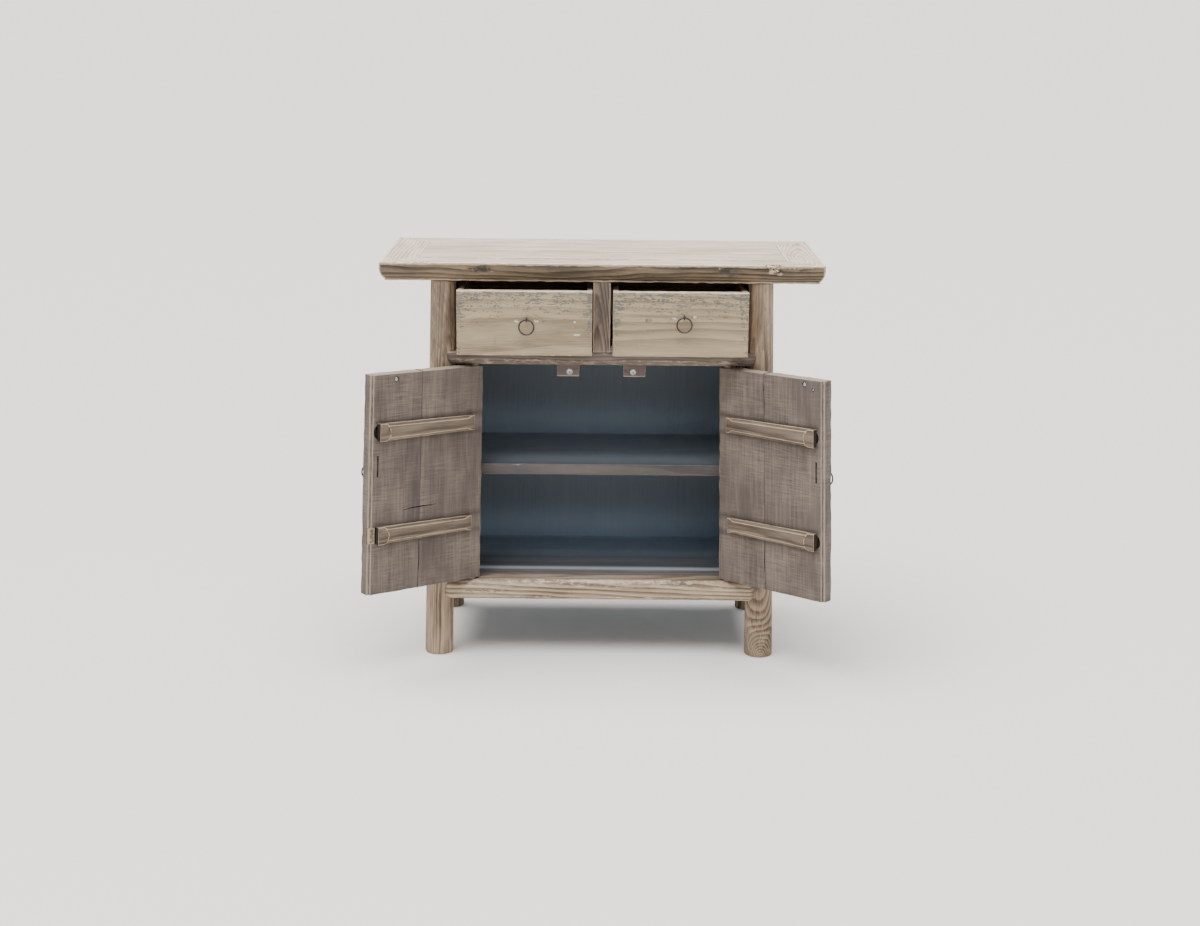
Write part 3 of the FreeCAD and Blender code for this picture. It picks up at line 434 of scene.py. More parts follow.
    def cut(self, cutters: Sequence["Blank"]) -> "Blank":
        """Cut hollows into the blank.

        Args:
            cutters: closed blanks that overlap it.

        Returns:
            A new blank, its marks taken from the nearest old points and its new faces known as hollow.
        """
        body = bpy.data.objects.new("body_blank", self.mesh("body_blank"))
        turn_outward(body.data)
        bpy.context.scene.collection.objects.link(body)
        tools = []
        for index, cutter in enumerate(cutters):
            tool = bpy.data.objects.new(f"tool_{index}", cutter.mesh(f"tool_{index}"))
            turn_outward(tool.data)
            bpy.context.scene.collection.objects.link(tool)
            tools.append(tool)
            modifier = body.modifiers.new(f"cut_{index}", "BOOLEAN")
            modifier.operation = "DIFFERENCE"
            modifier.solver = "EXACT"
            modifier.object = tool
        graph = bpy.context.evaluated_depsgraph_get()
        result = Blank.of_mesh(bpy.data.meshes.new_from_object(body.evaluated_get(graph)))
        for thing in [body] + tools:
            old = thing.data
            bpy.data.objects.remove(thing)
            bpy.data.meshes.remove(old)
        tree = kdtree.KDTree(len(self.points))
        for index, point in enumerate(self.points):
            tree.insert(point, index)
        tree.balance()
        for index, point in enumerate(result.points):
            _, nearest, _ = tree.find(point)
            result.wear[index] = self.wear[nearest]
            result.soil[index] = self.soil[nearest]
            result.stain[index] = self.stain[nearest]
        skin = bvhtree.BVHTree.FromPolygons(self.points.tolist(), self.faces)
        for index, face in enumerate(result.faces):
            gap = skin.find_nearest(Vector(result.points[face].mean(axis=0)))[3]
            result.hollow[index] = 1.0 if gap > 0.0002 else 0.0
        return result

    def placed(self, placing: Placing) -> "Blank":
        """Move every point to its place in the row frame, and return the same blank."""
        self.points = placing(self.points)
        return self

    def piece(self, name: str, material: bpy.types.Material, crease: float = 50.0) -> bpy.types.Object:
        """The finished piece: one object at the origin, with its marks as attributes.

        Args:
            name: the piece's name.
            material: its finish.
            crease: angle in degrees above which an edge stays sharp.

        Returns:
            The new object.
        """
        mesh = self.mesh(name)
        for key, kind, values in (("grain", "FLOAT_VECTOR", self.grain), ("wear", "FLOAT", self.wear),
                                  ("soil", "FLOAT", self.soil), ("stain", "FLOAT", self.stain)):
            layer = mesh.attributes.new(key, kind, "POINT")
            layer.data.foreach_set("vector" if kind == "FLOAT_VECTOR" else "value", values.ravel())
        mesh.attributes.new("hollow", "FLOAT", "FACE").data.foreach_set("value", self.hollow)
        made = bpy.data.objects.new(name, mesh)
        bpy.context.scene.collection.objects.link(made)
        turn_outward(mesh)
        mesh.polygons.foreach_set("use_smooth", [True] * len(mesh.polygons))
        mesh.set_sharp_from_angle(angle=math.radians(crease))
        mesh.materials.append(material)
        return made


def turn_outward(mesh: bpy.types.Mesh) -> None:
    """Make every face of a closed mesh point outward."""
    editing = bmesh.new()
    editing.from_mesh(mesh)
    bmesh.ops.recalc_face_normals(editing, faces=editing.faces)
    editing.to_mesh(mesh)
    editing.free()


def along_x(x: float, y: float, z: float) -> Placing:
    """Placing for a board whose grain runs along X; u is Y and v is Z."""
    return lambda points: points + np.array([x, y, z])


def along_y(x: float, y: float, z: float) -> Placing:
    """Placing for a board whose grain runs along Y; u is Z and v is X."""
    return lambda points: points[:, [2, 0, 1]] + np.array([x, y, z])


def along_z(x: float, y: float, z: float) -> Placing:
    """Placing for a board whose grain runs along Z; u is X and v is Y."""
    return lambda points: points[:, [1, 2, 0]] + np.array([x, y, z])


def mirrored(placing: Placing, side: Side) -> Placing:
    """A placing drawn on the right, for either side."""
    return lambda points: placing(points) * np.array([side.value, 1, 1])


def turned_back(placing: Placing) -> Placing:
    """A placing drawn at the front, put at the back."""
    return lambda points: placing(points) * np.array([1, -1, 1])


# Shader work

class Graph:
    """Adds and links nodes of one tree in short calls."""

    def __init__(self, tree: bpy.types.NodeTree) -> None:
        """Keep the tree to work on."""
        self.tree = tree

    def add(self, kind: str, inputs: dict[str | int, object] | None = None,
            settings: dict[str, object] | None = None) -> bpy.types.Node:
        """A new node.

        Args:
            kind: the node's type name.
            inputs: a socket to link, or a fixed value, for each input.
            settings: the node's own properties.

        Returns:
            The node.
        """
        node = self.tree.nodes.new(kind)
        for key, value in (settings or {}).items():
            setattr(node, key, value)
        for key, value in (inputs or {}).items():
            if isinstance(value, bpy.types.NodeSocket):
                self.tree.links.new(value, node.inputs[key])
            else:
                node.inputs[key].default_value = value
        return node

    def math(self, operation: str, first: object, second: object = 0.0,
             clamp: bool = False) -> bpy.types.NodeSocket:
        """One sum on two values."""
        node = self.add("ShaderNodeMath", {0: first, 1: second}, {"operation": operation, "use_clamp": clamp})
        return node.outputs[0]

    def plus(self, first: object, second: object, clamp: bool = False) -> bpy.types.NodeSocket:
        """Two values added."""
        return self.math("ADD", first, second, clamp)

    def minus(self, first: object, second: object, clamp: bool = False) -> bpy.types.NodeSocket:
        """The second value taken from the first."""
        return self.math("SUBTRACT", first, second, clamp)

    def times(self, first: object, second: object, clamp: bool = False) -> bpy.types.NodeSocket:
        """Two values multiplied."""
        return self.math("MULTIPLY", first, second, clamp)

    def scaled(self, vector: bpy.types.NodeSocket, factors: tuple[float, float, float]) -> bpy.types.NodeSocket:
        """A vector stretched along its axes."""
        node = self.add("ShaderNodeVectorMath", {0: vector, 1: factors}, {"operation": "MULTIPLY"})
        return node.outputs[0]

    def noise(self, vector: object, detail: float = 2.0, roughness: float = 0.5,
              distortion: float = 0.0) -> bpy.types.Node:
        """Soft noise at one bump for each unit of the vector."""
        return self.add("ShaderNodeTexNoise", {"Vector": vector, "Scale": 1.0, "Detail": detail,
                                               "Roughness": roughness, "Distortion": distortion})

    def ease(self, value: object, low: object, high: object, start: float = 0.0,
             end: float = 1.0) -> bpy.types.NodeSocket:
        """A smooth step between two values."""
        node = self.add("ShaderNodeMapRange", {"Value": value, "From Min": low, "From Max": high,
                                               "To Min": start, "To Max": end},
                        {"interpolation_type": "SMOOTHSTEP", "clamp": True})
        return node.outputs[0]

    def blend(self, mask: object, first: object, second: object) -> bpy.types.NodeSocket:
        """Two colours mixed by a mask."""
        node = self.add("ShaderNodeMix", {0: mask, 6: first, 7: second}, {"data_type": "RGBA"})
        return node.outputs[2]

    def ramp(self, value: object, stops: Sequence[tuple[float, Colour]]) -> bpy.types.NodeSocket:
        """A colour read from a ramp."""
        node = self.add("ShaderNodeValToRGB", {0: value})
        elements = node.color_ramp.elements
        while len(elements) < len(stops):
            elements.new(0.5)
        for element, (position, colour) in zip(elements, stops):
            element.position = position
            element.color = colour
        return node.outputs[0]


class Effect:
    """A shader group that several finishes share, with named inputs and outputs."""

    def __init__(self, name: str, inputs: Sequence[tuple[str, str, float | None]],
                 outputs: Sequence[str]) -> None:
        """Make the empty group.

        Args:
            name: the group's name.
            inputs: name, kind and default of each input.
            outputs: name of each mask or value that it puts out.
        """
        self.tree = bpy.data.node_groups.new(name, "ShaderNodeTree")
        for label, kind, default in inputs:
            socket = self.tree.interface.new_socket(label, in_out="INPUT", socket_type=kind)
            if default is not None:
                socket.default_value = default
        for label in outputs:
            self.tree.interface.new_socket(label, in_out="OUTPUT", socket_type="NodeSocketFloat")
        self.graph = Graph(self.tree)
        self.source = self.tree.nodes.new("NodeGroupInput")
        self.sink = self.tree.nodes.new("NodeGroupOutput")

    def close(self, results: dict[str, bpy.types.NodeSocket]) -> "Effect":
        """Link the outputs, and return the same effect."""
        for label, socket in results.items():
            self.tree.links.new(socket, self.sink.inputs[label])
        return self

    def use(self, graph: Graph, inputs: dict[str, object]) -> bpy.types.Node:
        """Place the group in a material with its own values."""
        return graph.add("ShaderNodeGroup", inputs, {"node_tree": self.tree})


class Effects:
    """Every shared shader group, each built once."""

    def __init__(self) -> None:
        """Build the groups."""
        self.figure = self.timber_figure()
        self.worn = self.worn_edges()
        self.saw = self.saw_marks()
        self.specks = self.paint_specks()
        self.grime = self.hand_grime()

    @staticmethod
    def timber_figure() -> Effect:
        """Growth rings round a wandering heart, fibres, patches, knots and fine cracks."""
        effect = Effect("timber_figure", [
            ("Vector", "NodeSocketVector", None), ("Ring Spacing", "NodeSocketFloat", 0.006),
            ("Wander", "NodeSocketFloat", 0.02), ("Knots", "NodeSocketFloat", 0.3),
        ], ["Rings", "Fibre", "Patches", "Knot", "Crack", "Height"])
        graph, source = effect.graph, effect.source
        vector = source.outputs["Vector"]
        drift = graph.noise(graph.scaled(vector, (3.1, 9.0, 9.0)), 2.0)
        centred = graph.add("ShaderNodeVectorMath", {0: drift.outputs["Color"], 1: (0.5, 0.5, 0.5)},
                            {"operation": "SUBTRACT"})
        shift = graph.add("ShaderNodeVectorMath", {0: centred.outputs[0], "Scale": source.outputs["Wander"]},
                          {"operation": "SCALE"})
        bent = graph.add("ShaderNodeVectorMath", {0: vector, 1: shift.outputs[0]}, {"operation": "ADD"})
        cells = graph.add("ShaderNodeTexVoronoi", {"Vector": graph.scaled(vector, (4.2, 11.0, 11.0)), "Scale": 1.0})
        near = graph.ease(cells.outputs["Distance"], 0.34, 0.0)
        draw = graph.add("ShaderNodeSeparateColor", {0: cells.outputs["Color"]}).outputs[0]
        chosen = graph.math("LESS_THAN", draw, source.outputs["Knots"])
        knot_field = graph.times(near, chosen)
        parts = graph.add("ShaderNodeSeparateXYZ", {0: bent.outputs[0]})
        flat = graph.add("ShaderNodeCombineXYZ", {1: parts.outputs[1], 2: parts.outputs[2]})
        away = graph.add("ShaderNodeVectorMath", {0: flat.outputs[0]}, {"operation": "LENGTH"}).outputs["Value"]
        away = graph.plus(away, graph.times(knot_field, 0.012))
        turns = graph.math("FRACT", graph.math("DIVIDE", away, source.outputs["Ring Spacing"]))
        late = graph.times(graph.ease(turns, 0.1, 0.8), graph.ease(turns, 1.0, 0.88))
        coarse = graph.noise(graph.scaled(vector, (9.0, 330.0, 330.0)), 3.0, 0.6).outputs["Fac"]
        fine = graph.noise(graph.scaled(vector, (30.0, 1300.0, 1300.0)), 2.0, 0.6).outputs["Fac"]
        fibre = graph.plus(graph.times(coarse, 0.6), graph.times(fine, 0.4))
        patches = graph.noise(graph.scaled(vector, (4.5, 24.0, 24.0)), 4.0, 0.6).outputs["Fac"]
        strand = graph.noise(graph.scaled(vector, (5.0, 120.0, 120.0)), 1.0, 0.4).outputs["Fac"]
        line = graph.ease(graph.math("ABSOLUTE", graph.minus(strand, 0.5)), 0.016, 0.0)
        gate = graph.ease(graph.noise(graph.scaled(vector, (3.3, 21.0, 21.0)), 2.0).outputs["Fac"], 0.61, 0.70)
        crack = graph.times(line, gate)
        knot = graph.times(graph.ease(cells.outputs["Distance"], 0.085, 0.03), chosen)
        height = graph.minus(graph.plus(graph.times(late, 0.35), fibre),
                             graph.times(graph.plus(crack, knot), 0.9))
        return effect.close({"Rings": late, "Fibre": fibre, "Patches": patches, "Knot": knot,
                             "Crack": crack, "Height": height})

    @staticmethod
    def worn_edges() -> Effect:
        """Arrises rubbed pale, broken up by noise."""
        effect = Effect("worn_edges", [("Vector", "NodeSocketVector", None), ("Wear", "NodeSocketFloat", 0.0),
                                       ("Reach", "NodeSocketFloat", 0.5)], ["Mask"])
        graph, source = effect.graph, effect.source
        grit = graph.noise(graph.scaled(source.outputs["Vector"], (45.0, 160.0, 160.0)), 3.0, 0.65).outputs["Fac"]
        swing = graph.times(graph.minus(grit, 0.5), 1.1)
        level = graph.plus(source.outputs["Wear"], swing)
        low = graph.minus(0.95, source.outputs["Reach"])
        high = graph.plus(low, 0.4)
        return effect.close({"Mask": graph.ease(level, low, high)})

    @staticmethod
    def saw_marks() -> Effect:
        """A weave of faint lines across and along the grain, left by a saw and a plane."""
        effect = Effect("saw_marks", [("Vector", "NodeSocketVector", None), ("Pitch", "NodeSocketFloat", 0.008)],
                        ["Mask", "Height"])
        graph, source = effect.graph, effect.source
        vector = source.outputs["Vector"]
        scale = graph.math("DIVIDE", 1.0, source.outputs["Pitch"])
        pitched = graph.add("ShaderNodeVectorMath", {0: vector, "Scale": scale}, {"operation": "SCALE"}).outputs[0]
        across = graph.noise(graph.scaled(pitched, (1.7, 0.10, 0.10)), 2.0, 0.55, 0.3).outputs["Fac"]
        tight = graph.noise(graph.scaled(pitched, (4.6, 0.16, 0.16)), 1.0, 0.5, 0.2).outputs["Fac"]
        along = graph.noise(graph.scaled(pitched, (0.08, 1.5, 1.5)), 2.0, 0.55, 0.3).outputs["Fac"]
        gate = graph.noise(graph.scaled(vector, (9.0, 12.0, 12.0)), 2.0).outputs["Fac"]
        bands = graph.plus(graph.ease(across, 0.38, 0.66), graph.ease(tight, 0.42, 0.64))
        both = graph.plus(bands, graph.ease(along, 0.40, 0.66))
        mask = graph.times(both, graph.ease(gate, 0.25, 0.7))
        mask = graph.times(mask, 0.42, clamp=True)
        return effect.close({"Mask": mask, "Height": both})

    @staticmethod
    def paint_specks() -> Effect:
        """Left-over specks and short dashes of old paint, thicker where the density is high."""
        effect = Effect("paint_specks", [("Vector", "NodeSocketVector", None), ("Density", "NodeSocketFloat", 0.0)],
                        ["Mask"])
        graph, source = effect.graph, effect.source
        vector = source.outputs["Vector"]
        dots = graph.noise(graph.scaled(vector, (210.0, 430.0, 430.0)), 2.0, 0.6).outputs["Fac"]
        dashes = graph.noise(graph.scaled(vector, (70.0, 340.0, 340.0)), 2.0, 0.6).outputs["Fac"]
        cloud = graph.noise(graph.scaled(vector, (26.0, 75.0, 75.0)), 3.0, 0.65).outputs["Fac"]
        level = graph.plus(graph.times(dots, 0.55), graph.times(dashes, 0.45))
        level = graph.plus(level, graph.times(graph.minus(cloud, 0.5), 0.42))
        thicker = graph.minus(source.outputs["Density"], 0.5)
        level = graph.plus(level, graph.times(thicker, 0.26))
        return effect.close({"Mask": graph.ease(level, 0.595, 0.65)})

    @staticmethod
    def hand_grime() -> Effect:
        """Dirt that drifts a little over the faces, and darkening in corners and joints that is part filth, part
        painted shade.
        """
        effect = Effect("hand_grime", [("Vector", "NodeSocketVector", None), ("Soil", "NodeSocketFloat", 0.0),
                                       ("Drift", "NodeSocketFloat", 0.2)], ["Mask"])
        graph, source = effect.graph, effect.source
        cloud = graph.noise(graph.scaled(source.outputs["Vector"], (7.0, 20.0, 20.0)), 4.0, 0.6).outputs["Fac"]
        drift = graph.times(graph.ease(cloud, 0.45, 0.75), source.outputs["Drift"])
        edge = graph.times(source.outputs["Soil"], graph.ease(cloud, 0.1, 0.5, 0.65, 1.0))
        return effect.close({"Mask": graph.plus(drift, edge, clamp=True)})


class Grain(Enum):
    """What a wood finish reads its grain from."""

    BOARD = "the board's own attribute"
    X = (0.0, 0.0, 0.0)
    Y = (0.0, 0.0, -math.pi / 2)


class Coat(Enum):
    """What a board's stain attribute stands for."""

    SPECKS = "left-over specks of paint"
    # On this coat, stain values above 1 stand for painted shade.
    SOLID = "an even dark coat"


@dataclass(frozen=True)
class WoodFinish:
    """One kind of old wood: its tones and how strongly each effect shows."""

    name: str
    dark: Colour
    mid: Colour
    pale: Colour
    worn: Colour
    # Tone for filth, and for painted shade in corners and joints.
    grime: Colour = tone(66, 56, 48)
    stain: Colour = tone(70, 76, 82)
    # Tone of cut hollows, partly filth and partly painted shade in the recesses, and of painted shade on a solid
    # coat.
    hole: Colour = tone(46, 40, 37)
    ring_spacing: float = 0.006
    rings: float = 0.45
    fibre: float = 0.9
    patches: float = 0.9
    wander: float = 0.02
    knots: float = 0.12
    saw: float = 0.0
    saw_pitch: float = 0.008
    reach: float = 0.5
    worn_share: float = 0.8
    drift: float = 0.25
    stain_share: float = 0.8
    coat: Coat = Coat.SPECKS
    roughness: float = 0.72
    relief: float = 0.5
    grain: Grain = Grain.BOARD
    heart: tuple[float, float, float] = (0.0, 0.06, 0.04)

    def vector(self, graph: Graph) -> bpy.types.NodeSocket:
        """Coordinates with x along the grain."""
        if self.grain is Grain.BOARD:
            return graph.add("ShaderNodeAttribute", settings={"attribute_name": "grain"}).outputs["Vector"]
        place = graph.add("ShaderNodeTexCoord").outputs["Object"]
        return graph.add("ShaderNodeMapping", {"Vector": place, "Location": self.heart,
                                               "Rotation": self.grain.value}).outputs[0]

    def build(self, effects: Effects) -> bpy.types.Material:
        """The finish as a material."""
        material = bpy.data.materials.new(self.name)
        material.use_nodes = True
        graph = Graph(material.node_tree)
        shader = material.node_tree.nodes["Principled BSDF"]
        vector = self.vector(graph)
        marks = {key: graph.add("ShaderNodeAttribute", settings={"attribute_name": key}).outputs["Fac"]
                 for key in ("wear", "soil", "stain", "hollow")}
        figure = effects.figure.use(graph, {"Vector": vector, "Ring Spacing": self.ring_spacing,
                                            "Wander": self.wander, "Knots": self.knots})
        level: object = 0.5
        for output, share, middle in (("Rings", -self.rings, 0.35), ("Fibre", self.fibre, 0.5),
                                      ("Patches", self.patches, 0.5)):
            off = graph.minus(figure.outputs[output], middle)
            level = graph.plus(level, graph.times(off, share))
        colour = graph.ramp(level, [(0.08, self.dark), (0.5, self.mid), (0.92, self.pale)])
        height = figure.outputs["Height"]
        if self.saw > 0:
            saw = effects.saw.use(graph, {"Vector": vector, "Pitch": self.saw_pitch})
            colour = graph.blend(graph.times(saw.outputs["Mask"], self.saw), colour, self.worn)
            height = graph.plus(height, graph.times(saw.outputs["Height"], 0.5 * self.saw))
        # Darker where the surface is filthy, and where painted shade lies in corners and joints.
        grime_shade_mask = effects.grime.use(graph, {"Vector": vector, "Soil": marks["soil"], "Drift": self.drift})
        dark_spots = graph.math("MAXIMUM", graph.times(figure.outputs["Crack"], 0.85),
                                graph.times(figure.outputs["Knot"], 0.8))
        colour = graph.blend(graph.math("MAXIMUM", grime_shade_mask.outputs["Mask"], dark_spots), colour, self.grime)
        if self.coat is Coat.SPECKS:
            specks = effects.specks.use(graph, {"Vector": vector, "Density": marks["stain"]})
            has_stain = graph.ease(marks["stain"], 0.0, 0.12)
            mask = graph.times(graph.times(specks.outputs["Mask"], has_stain), self.stain_share)
        else:
            mask = graph.times(graph.ease(marks["stain"], 0.2, 0.8), self.stain_share)
        through = 0.35 if self.coat is Coat.SPECKS else 0.12
        stained = graph.blend(graph.times(figure.outputs["Fibre"], through), self.stain, self.mid)
        # Coat values above 1 blend toward the dark hollow tone: painted shade inside the case.
        if self.coat is Coat.SOLID:
            stained = graph.blend(graph.ease(marks["stain"], 1.0, 2.0), stained, self.hole)
        colour = graph.blend(mask, colour, stained)
        rubbed = effects.worn.use(graph, {"Vector": vector, "Wear": marks["wear"], "Reach": self.reach})
        pale = graph.times(rubbed.outputs["Mask"], self.worn_share)
        if self.coat is Coat.SOLID:
            pale = graph.times(pale, graph.minus(1.0, marks["stain"], clamp=True))
        colour = graph.blend(pale, colour, self.worn)
        # Cut hollow faces take the dark tone: partly filth, partly painted shade in the recesses.
        colour = graph.blend(marks["hollow"], colour, self.hole)
        rough = graph.ease(level, 0.0, 1.0, self.roughness + 0.1, self.roughness - 0.06)
        bump = graph.add("ShaderNodeBump", {"Height": height, "Strength": self.relief, "Distance": 0.0006})
        for key, value in (("Base Color", colour), ("Roughness", rough), ("Normal", bump.outputs[0])):
            graph.tree.links.new(value, shader.inputs[key])
        shader.inputs["Specular IOR Level"].default_value = 0.28
        return material


@dataclass(frozen=True)
class MetalFinish:
    """Bare or rusted iron."""

    name: str
    bright: Colour
    rust: Colour
    rust_share: float = 0.5
    roughness: float = 0.45
    metallic: float = 0.8

    def build(self) -> bpy.types.Material:
        """The finish as a material."""
        material = bpy.data.materials.new(self.name)
        material.use_nodes = True
        graph = Graph(material.node_tree)
        shader = material.node_tree.nodes["Principled BSDF"]
        place = graph.add("ShaderNodeTexCoord").outputs["Object"]
        fine = graph.noise(graph.scaled(place, (520.0, 520.0, 520.0)), 4.0, 0.6).outputs["Fac"]
        broad = graph.noise(graph.scaled(place, (130.0, 130.0, 130.0)), 3.0).outputs["Fac"]
        mask = graph.ease(graph.plus(graph.times(fine, 0.5), graph.times(broad, 0.5)),
                          0.62 - 0.35 * self.rust_share, 0.8 - 0.35 * self.rust_share)
        colour = graph.blend(mask, self.bright, self.rust)
        rough = graph.ease(mask, 0.0, 1.0, self.roughness, 0.85)
        metal = graph.ease(mask, 0.0, 1.0, self.metallic, 0.15)
        bump = graph.add("ShaderNodeBump", {"Height": fine, "Strength": 0.4, "Distance": 0.0003})
        for key, value in (("Base Color", colour), ("Roughness", rough), ("Metallic", metal),
                           ("Normal", bump.outputs[0])):
            graph.tree.links.new(value, shader.inputs[key])
        return material


class Finishes:
    """All finishes of the cabinet, built once."""

    def __init__(self) -> None:
        """Build every material."""
        effects = Effects()
        self.top_face = WoodFinish(
            "top_wood_finish", dark=tone(166, 149, 130), mid=tone(211, 193, 173), pale=tone(230, 215, 197),
            worn=tone(238, 226, 210), rings=0.42, fibre=1.05, patches=1.4, knots=0.04, saw=0.18,
            reach=0.55, drift=0.14, ring_spacing=0.0075, relief=0.4, grime=tone(128, 114, 102)).build(effects)
        self.top_edge = WoodFinish(
            "top_edge_finish", dark=tone(56, 49, 42), mid=tone(108, 93, 75), pale=tone(139, 121, 98),
            worn=tone(186, 168, 145), rings=0.42, fibre=1.1, patches=1.5, knots=0.14, reach=0.6,
            drift=0.5, ring_spacing=0.0065, grime=tone(66, 61, 58), wander=0.03).build(effects)
        self.post = WoodFinish(
            "post_finish", dark=tone(92, 79, 66), mid=tone(154, 134, 112), pale=tone(188, 167, 141),
            worn=tone(208, 190, 166), rings=0.38, fibre=1.5, patches=1.35, knots=0.05, drift=0.45,
            ring_spacing=0.0031, wander=0.008, grime=tone(88, 78, 70), stain=tone(92, 93, 94),
            stain_share=0.75).build(effects)
        self.post_shade = WoodFinish(
            "divider_finish", dark=tone(78, 68, 61), mid=tone(122, 109, 98), pale=tone(152, 136, 121),
            worn=tone(172, 156, 138), rings=0.5, fibre=1.2, patches=1.5, knots=0.5, drift=0.4,
            ring_spacing=0.004, wander=0.012, grime=tone(78, 72, 70)).build(effects)
        self.rail = WoodFinish(
            "rail_finish", dark=tone(78, 69, 63), mid=tone(105, 94, 86), pale=tone(128, 115, 105),
            worn=tone(190, 169, 149), rings=0.34, fibre=1.0, patches=1.0, knots=0.06, drift=0.3,
            reach=0.5, ring_spacing=0.0062, grime=tone(84, 73, 66)).build(effects)
        self.rail_bottom = WoodFinish(
            "bottom_rail_finish", dark=tone(104, 89, 73), mid=tone(166, 147, 125), pale=tone(196, 178, 157),
            worn=tone(214, 194, 176), rings=0.5, fibre=1.2, patches=1.6, knots=0.05, drift=0.28,
            reach=0.5, ring_spacing=0.0062, grime=tone(106, 92, 80), stain=tone(76, 66, 58),
            stain_share=0.7).build(effects)
        self.drawer_front = WoodFinish(
            "drawer_front_finish", dark=tone(116, 103, 83), mid=tone(159, 143, 117), pale=tone(179, 163, 138),
            worn=tone(214, 198, 178), rings=0.3, fibre=0.9, patches=0.9, knots=0.04, drift=0.2,
            reach=0.68, worn_share=0.95, ring_spacing=0.011, grime=tone(116, 104, 92),
            stain=tone(74, 81, 87), stain_share=0.88, relief=0.35).build(effects)
        self.drawer_box = WoodFinish(
            "drawer_box_finish", dark=tone(140, 120, 100), mid=tone(184, 162, 138), pale=tone(206, 186, 162),
            worn=tone(236, 214, 196), rings=0.5, patches=0.8, ring_spacing=0.008, drift=0.2,
            reach=0.8).build(effects)
        # Back and bottom of the drawers: darker than the box sides, partly as painted shade for the inside of a
        # drawer.
        self.drawer_cross = WoodFinish(
            "drawer_cross_finish", dark=tone(90, 76, 62), mid=tone(134, 115, 94), pale=tone(162, 142, 118),
            worn=tone(214, 194, 164), rings=0.5, patches=0.8, ring_spacing=0.009, drift=0.24,
            grain=Grain.X, heart=(0.3, 0.12, 0.66)).build(effects)
        self.door = WoodFinish(
            "door_finish", dark=tone(69, 62, 59), mid=tone(94, 85, 81), pale=tone(124, 110, 99),
            worn=tone(158, 143, 129), rings=0.10, fibre=0.85, patches=0.9, knots=0.02, saw=0.42,
            saw_pitch=0.0060, reach=0.42, worn_share=0.8, drift=0.35, ring_spacing=0.009,
            grime=tone(68, 60, 56), relief=0.6).build(effects)
        self.batten = WoodFinish(
            "batten_finish", dark=tone(70, 61, 53), mid=tone(107, 94, 83), pale=tone(136, 120, 104),
            worn=tone(186, 166, 139), rings=0.4, fibre=1.3, patches=1.1, knots=0.05, drift=0.3,
            reach=0.5, worn_share=0.8, ring_spacing=0.005, grime=tone(64, 55, 48)).build(effects)
        self.floor = WoodFinish(
            "floor_board_finish", dark=tone(74, 68, 66), mid=tone(101, 94, 92), pale=tone(124, 114, 109),
            worn=tone(156, 140, 132), rings=0.3, fibre=0.9, patches=1.4, knots=0.1, drift=0.4,
            ring_spacing=0.009, grime=tone(74, 70, 70), stain=tone(158, 174, 190), coat=Coat.SOLID,
            reach=0.45).build(effects)
        self.case = WoodFinish(
            "case_board_finish", dark=tone(92, 80, 70), mid=tone(138, 122, 105), pale=tone(168, 150, 130),
            worn=tone(184, 166, 144), rings=0.4, fibre=1.0, patches=1.2, knots=0.14, drift=0.35,
            ring_spacing=0.008, stain=tone(152, 171, 189), coat=Coat.SOLID, stain_share=0.96,
            grime=tone(64, 59, 56), reach=0.4).build(effects)
        self.runner = WoodFinish(
            "inner_runner_finish", dark=tone(84, 78, 74), mid=tone(126, 116, 108), pale=tone(158, 146, 134),
            worn=tone(150, 138, 124), patches=1.2, grain=Grain.Y, heart=(0.2, 0.1, 0.5)).build(effects)
        self.iron = MetalFinish("iron_finish", bright=tone(84, 78, 80), rust=tone(54, 46, 44),
                                rust_share=0.7, roughness=0.4).build()
        self.steel = MetalFinish("magnet_steel_finish", bright=tone(170, 172, 176), rust=tone(96, 86, 78),
                                 rust_share=0.25, roughness=0.3, metallic=0.95).build()


# Geometry Nodes

class Form:
    """A Geometry Nodes tree with named inputs and a plain mesh as its result."""

    def __init__(self, name: str, inputs: Sequence[tuple[str, str, object]]) -> None:
        """Make the empty tree.

        Args:
            name: the tree's name.
            inputs: name, kind and default of each input.
        """
        self.tree = bpy.data.node_groups.new(name, "GeometryNodeTree")
        for label, kind, default in inputs:
            socket = self.tree.interface.new_socket(label, in_out="INPUT", socket_type=kind)
            if default is not None:
                socket.default_value = default
        self.tree.interface.new_socket("Geometry", in_out="OUTPUT", socket_type="NodeSocketGeometry")
        self.graph = Graph(self.tree)
        self.source = self.tree.nodes.new("NodeGroupInput")
        self.sink = self.tree.nodes.new("NodeGroupOutput")

    def close(self, geometry: bpy.types.NodeSocket) -> "Form":
        """End the tree in real geometry with its material, and return the same form."""
        real = self.graph.add("GeometryNodeRealizeInstances", {"Geometry": geometry})
        dressed = self.graph.add("GeometryNodeSetMaterial", {"Geometry": real.outputs[0],
                                                             "Material": self.source.outputs["Material"]})
        self.tree.links.new(dressed.outputs[0], self.sink.inputs["Geometry"])
        return self

    def grow(self, values: dict[str, object], points: Sequence[tuple[float, float, float]] = ()) -> Blank:
        """Run the tree once.

        Args:
            values: a value for each named input that differs from its default.
            points: points of the mesh that the tree starts from.

        Returns:
            The result as a blank.
        """
        start = bpy.data.meshes.new("start")
        start.from_pydata([list(point) for point in points], [], [])
        carrier = bpy.data.objects.new("carrier", start)
        bpy.context.scene.collection.objects.link(carrier)
        modifier = carrier.modifiers.new("form", "NODES")
        modifier.node_group = self.tree
        for item in self.tree.interface.items_tree:
            if item.in_out == "INPUT" and item.name in values:
                modifier[item.identifier] = values[item.name]
        graph = bpy.context.evaluated_depsgraph_get()
        result = Blank.of_mesh(bpy.data.meshes.new_from_object(carrier.evaluated_get(graph)))
        bpy.data.objects.remove(carrier)
        bpy.data.meshes.remove(start)
        return result


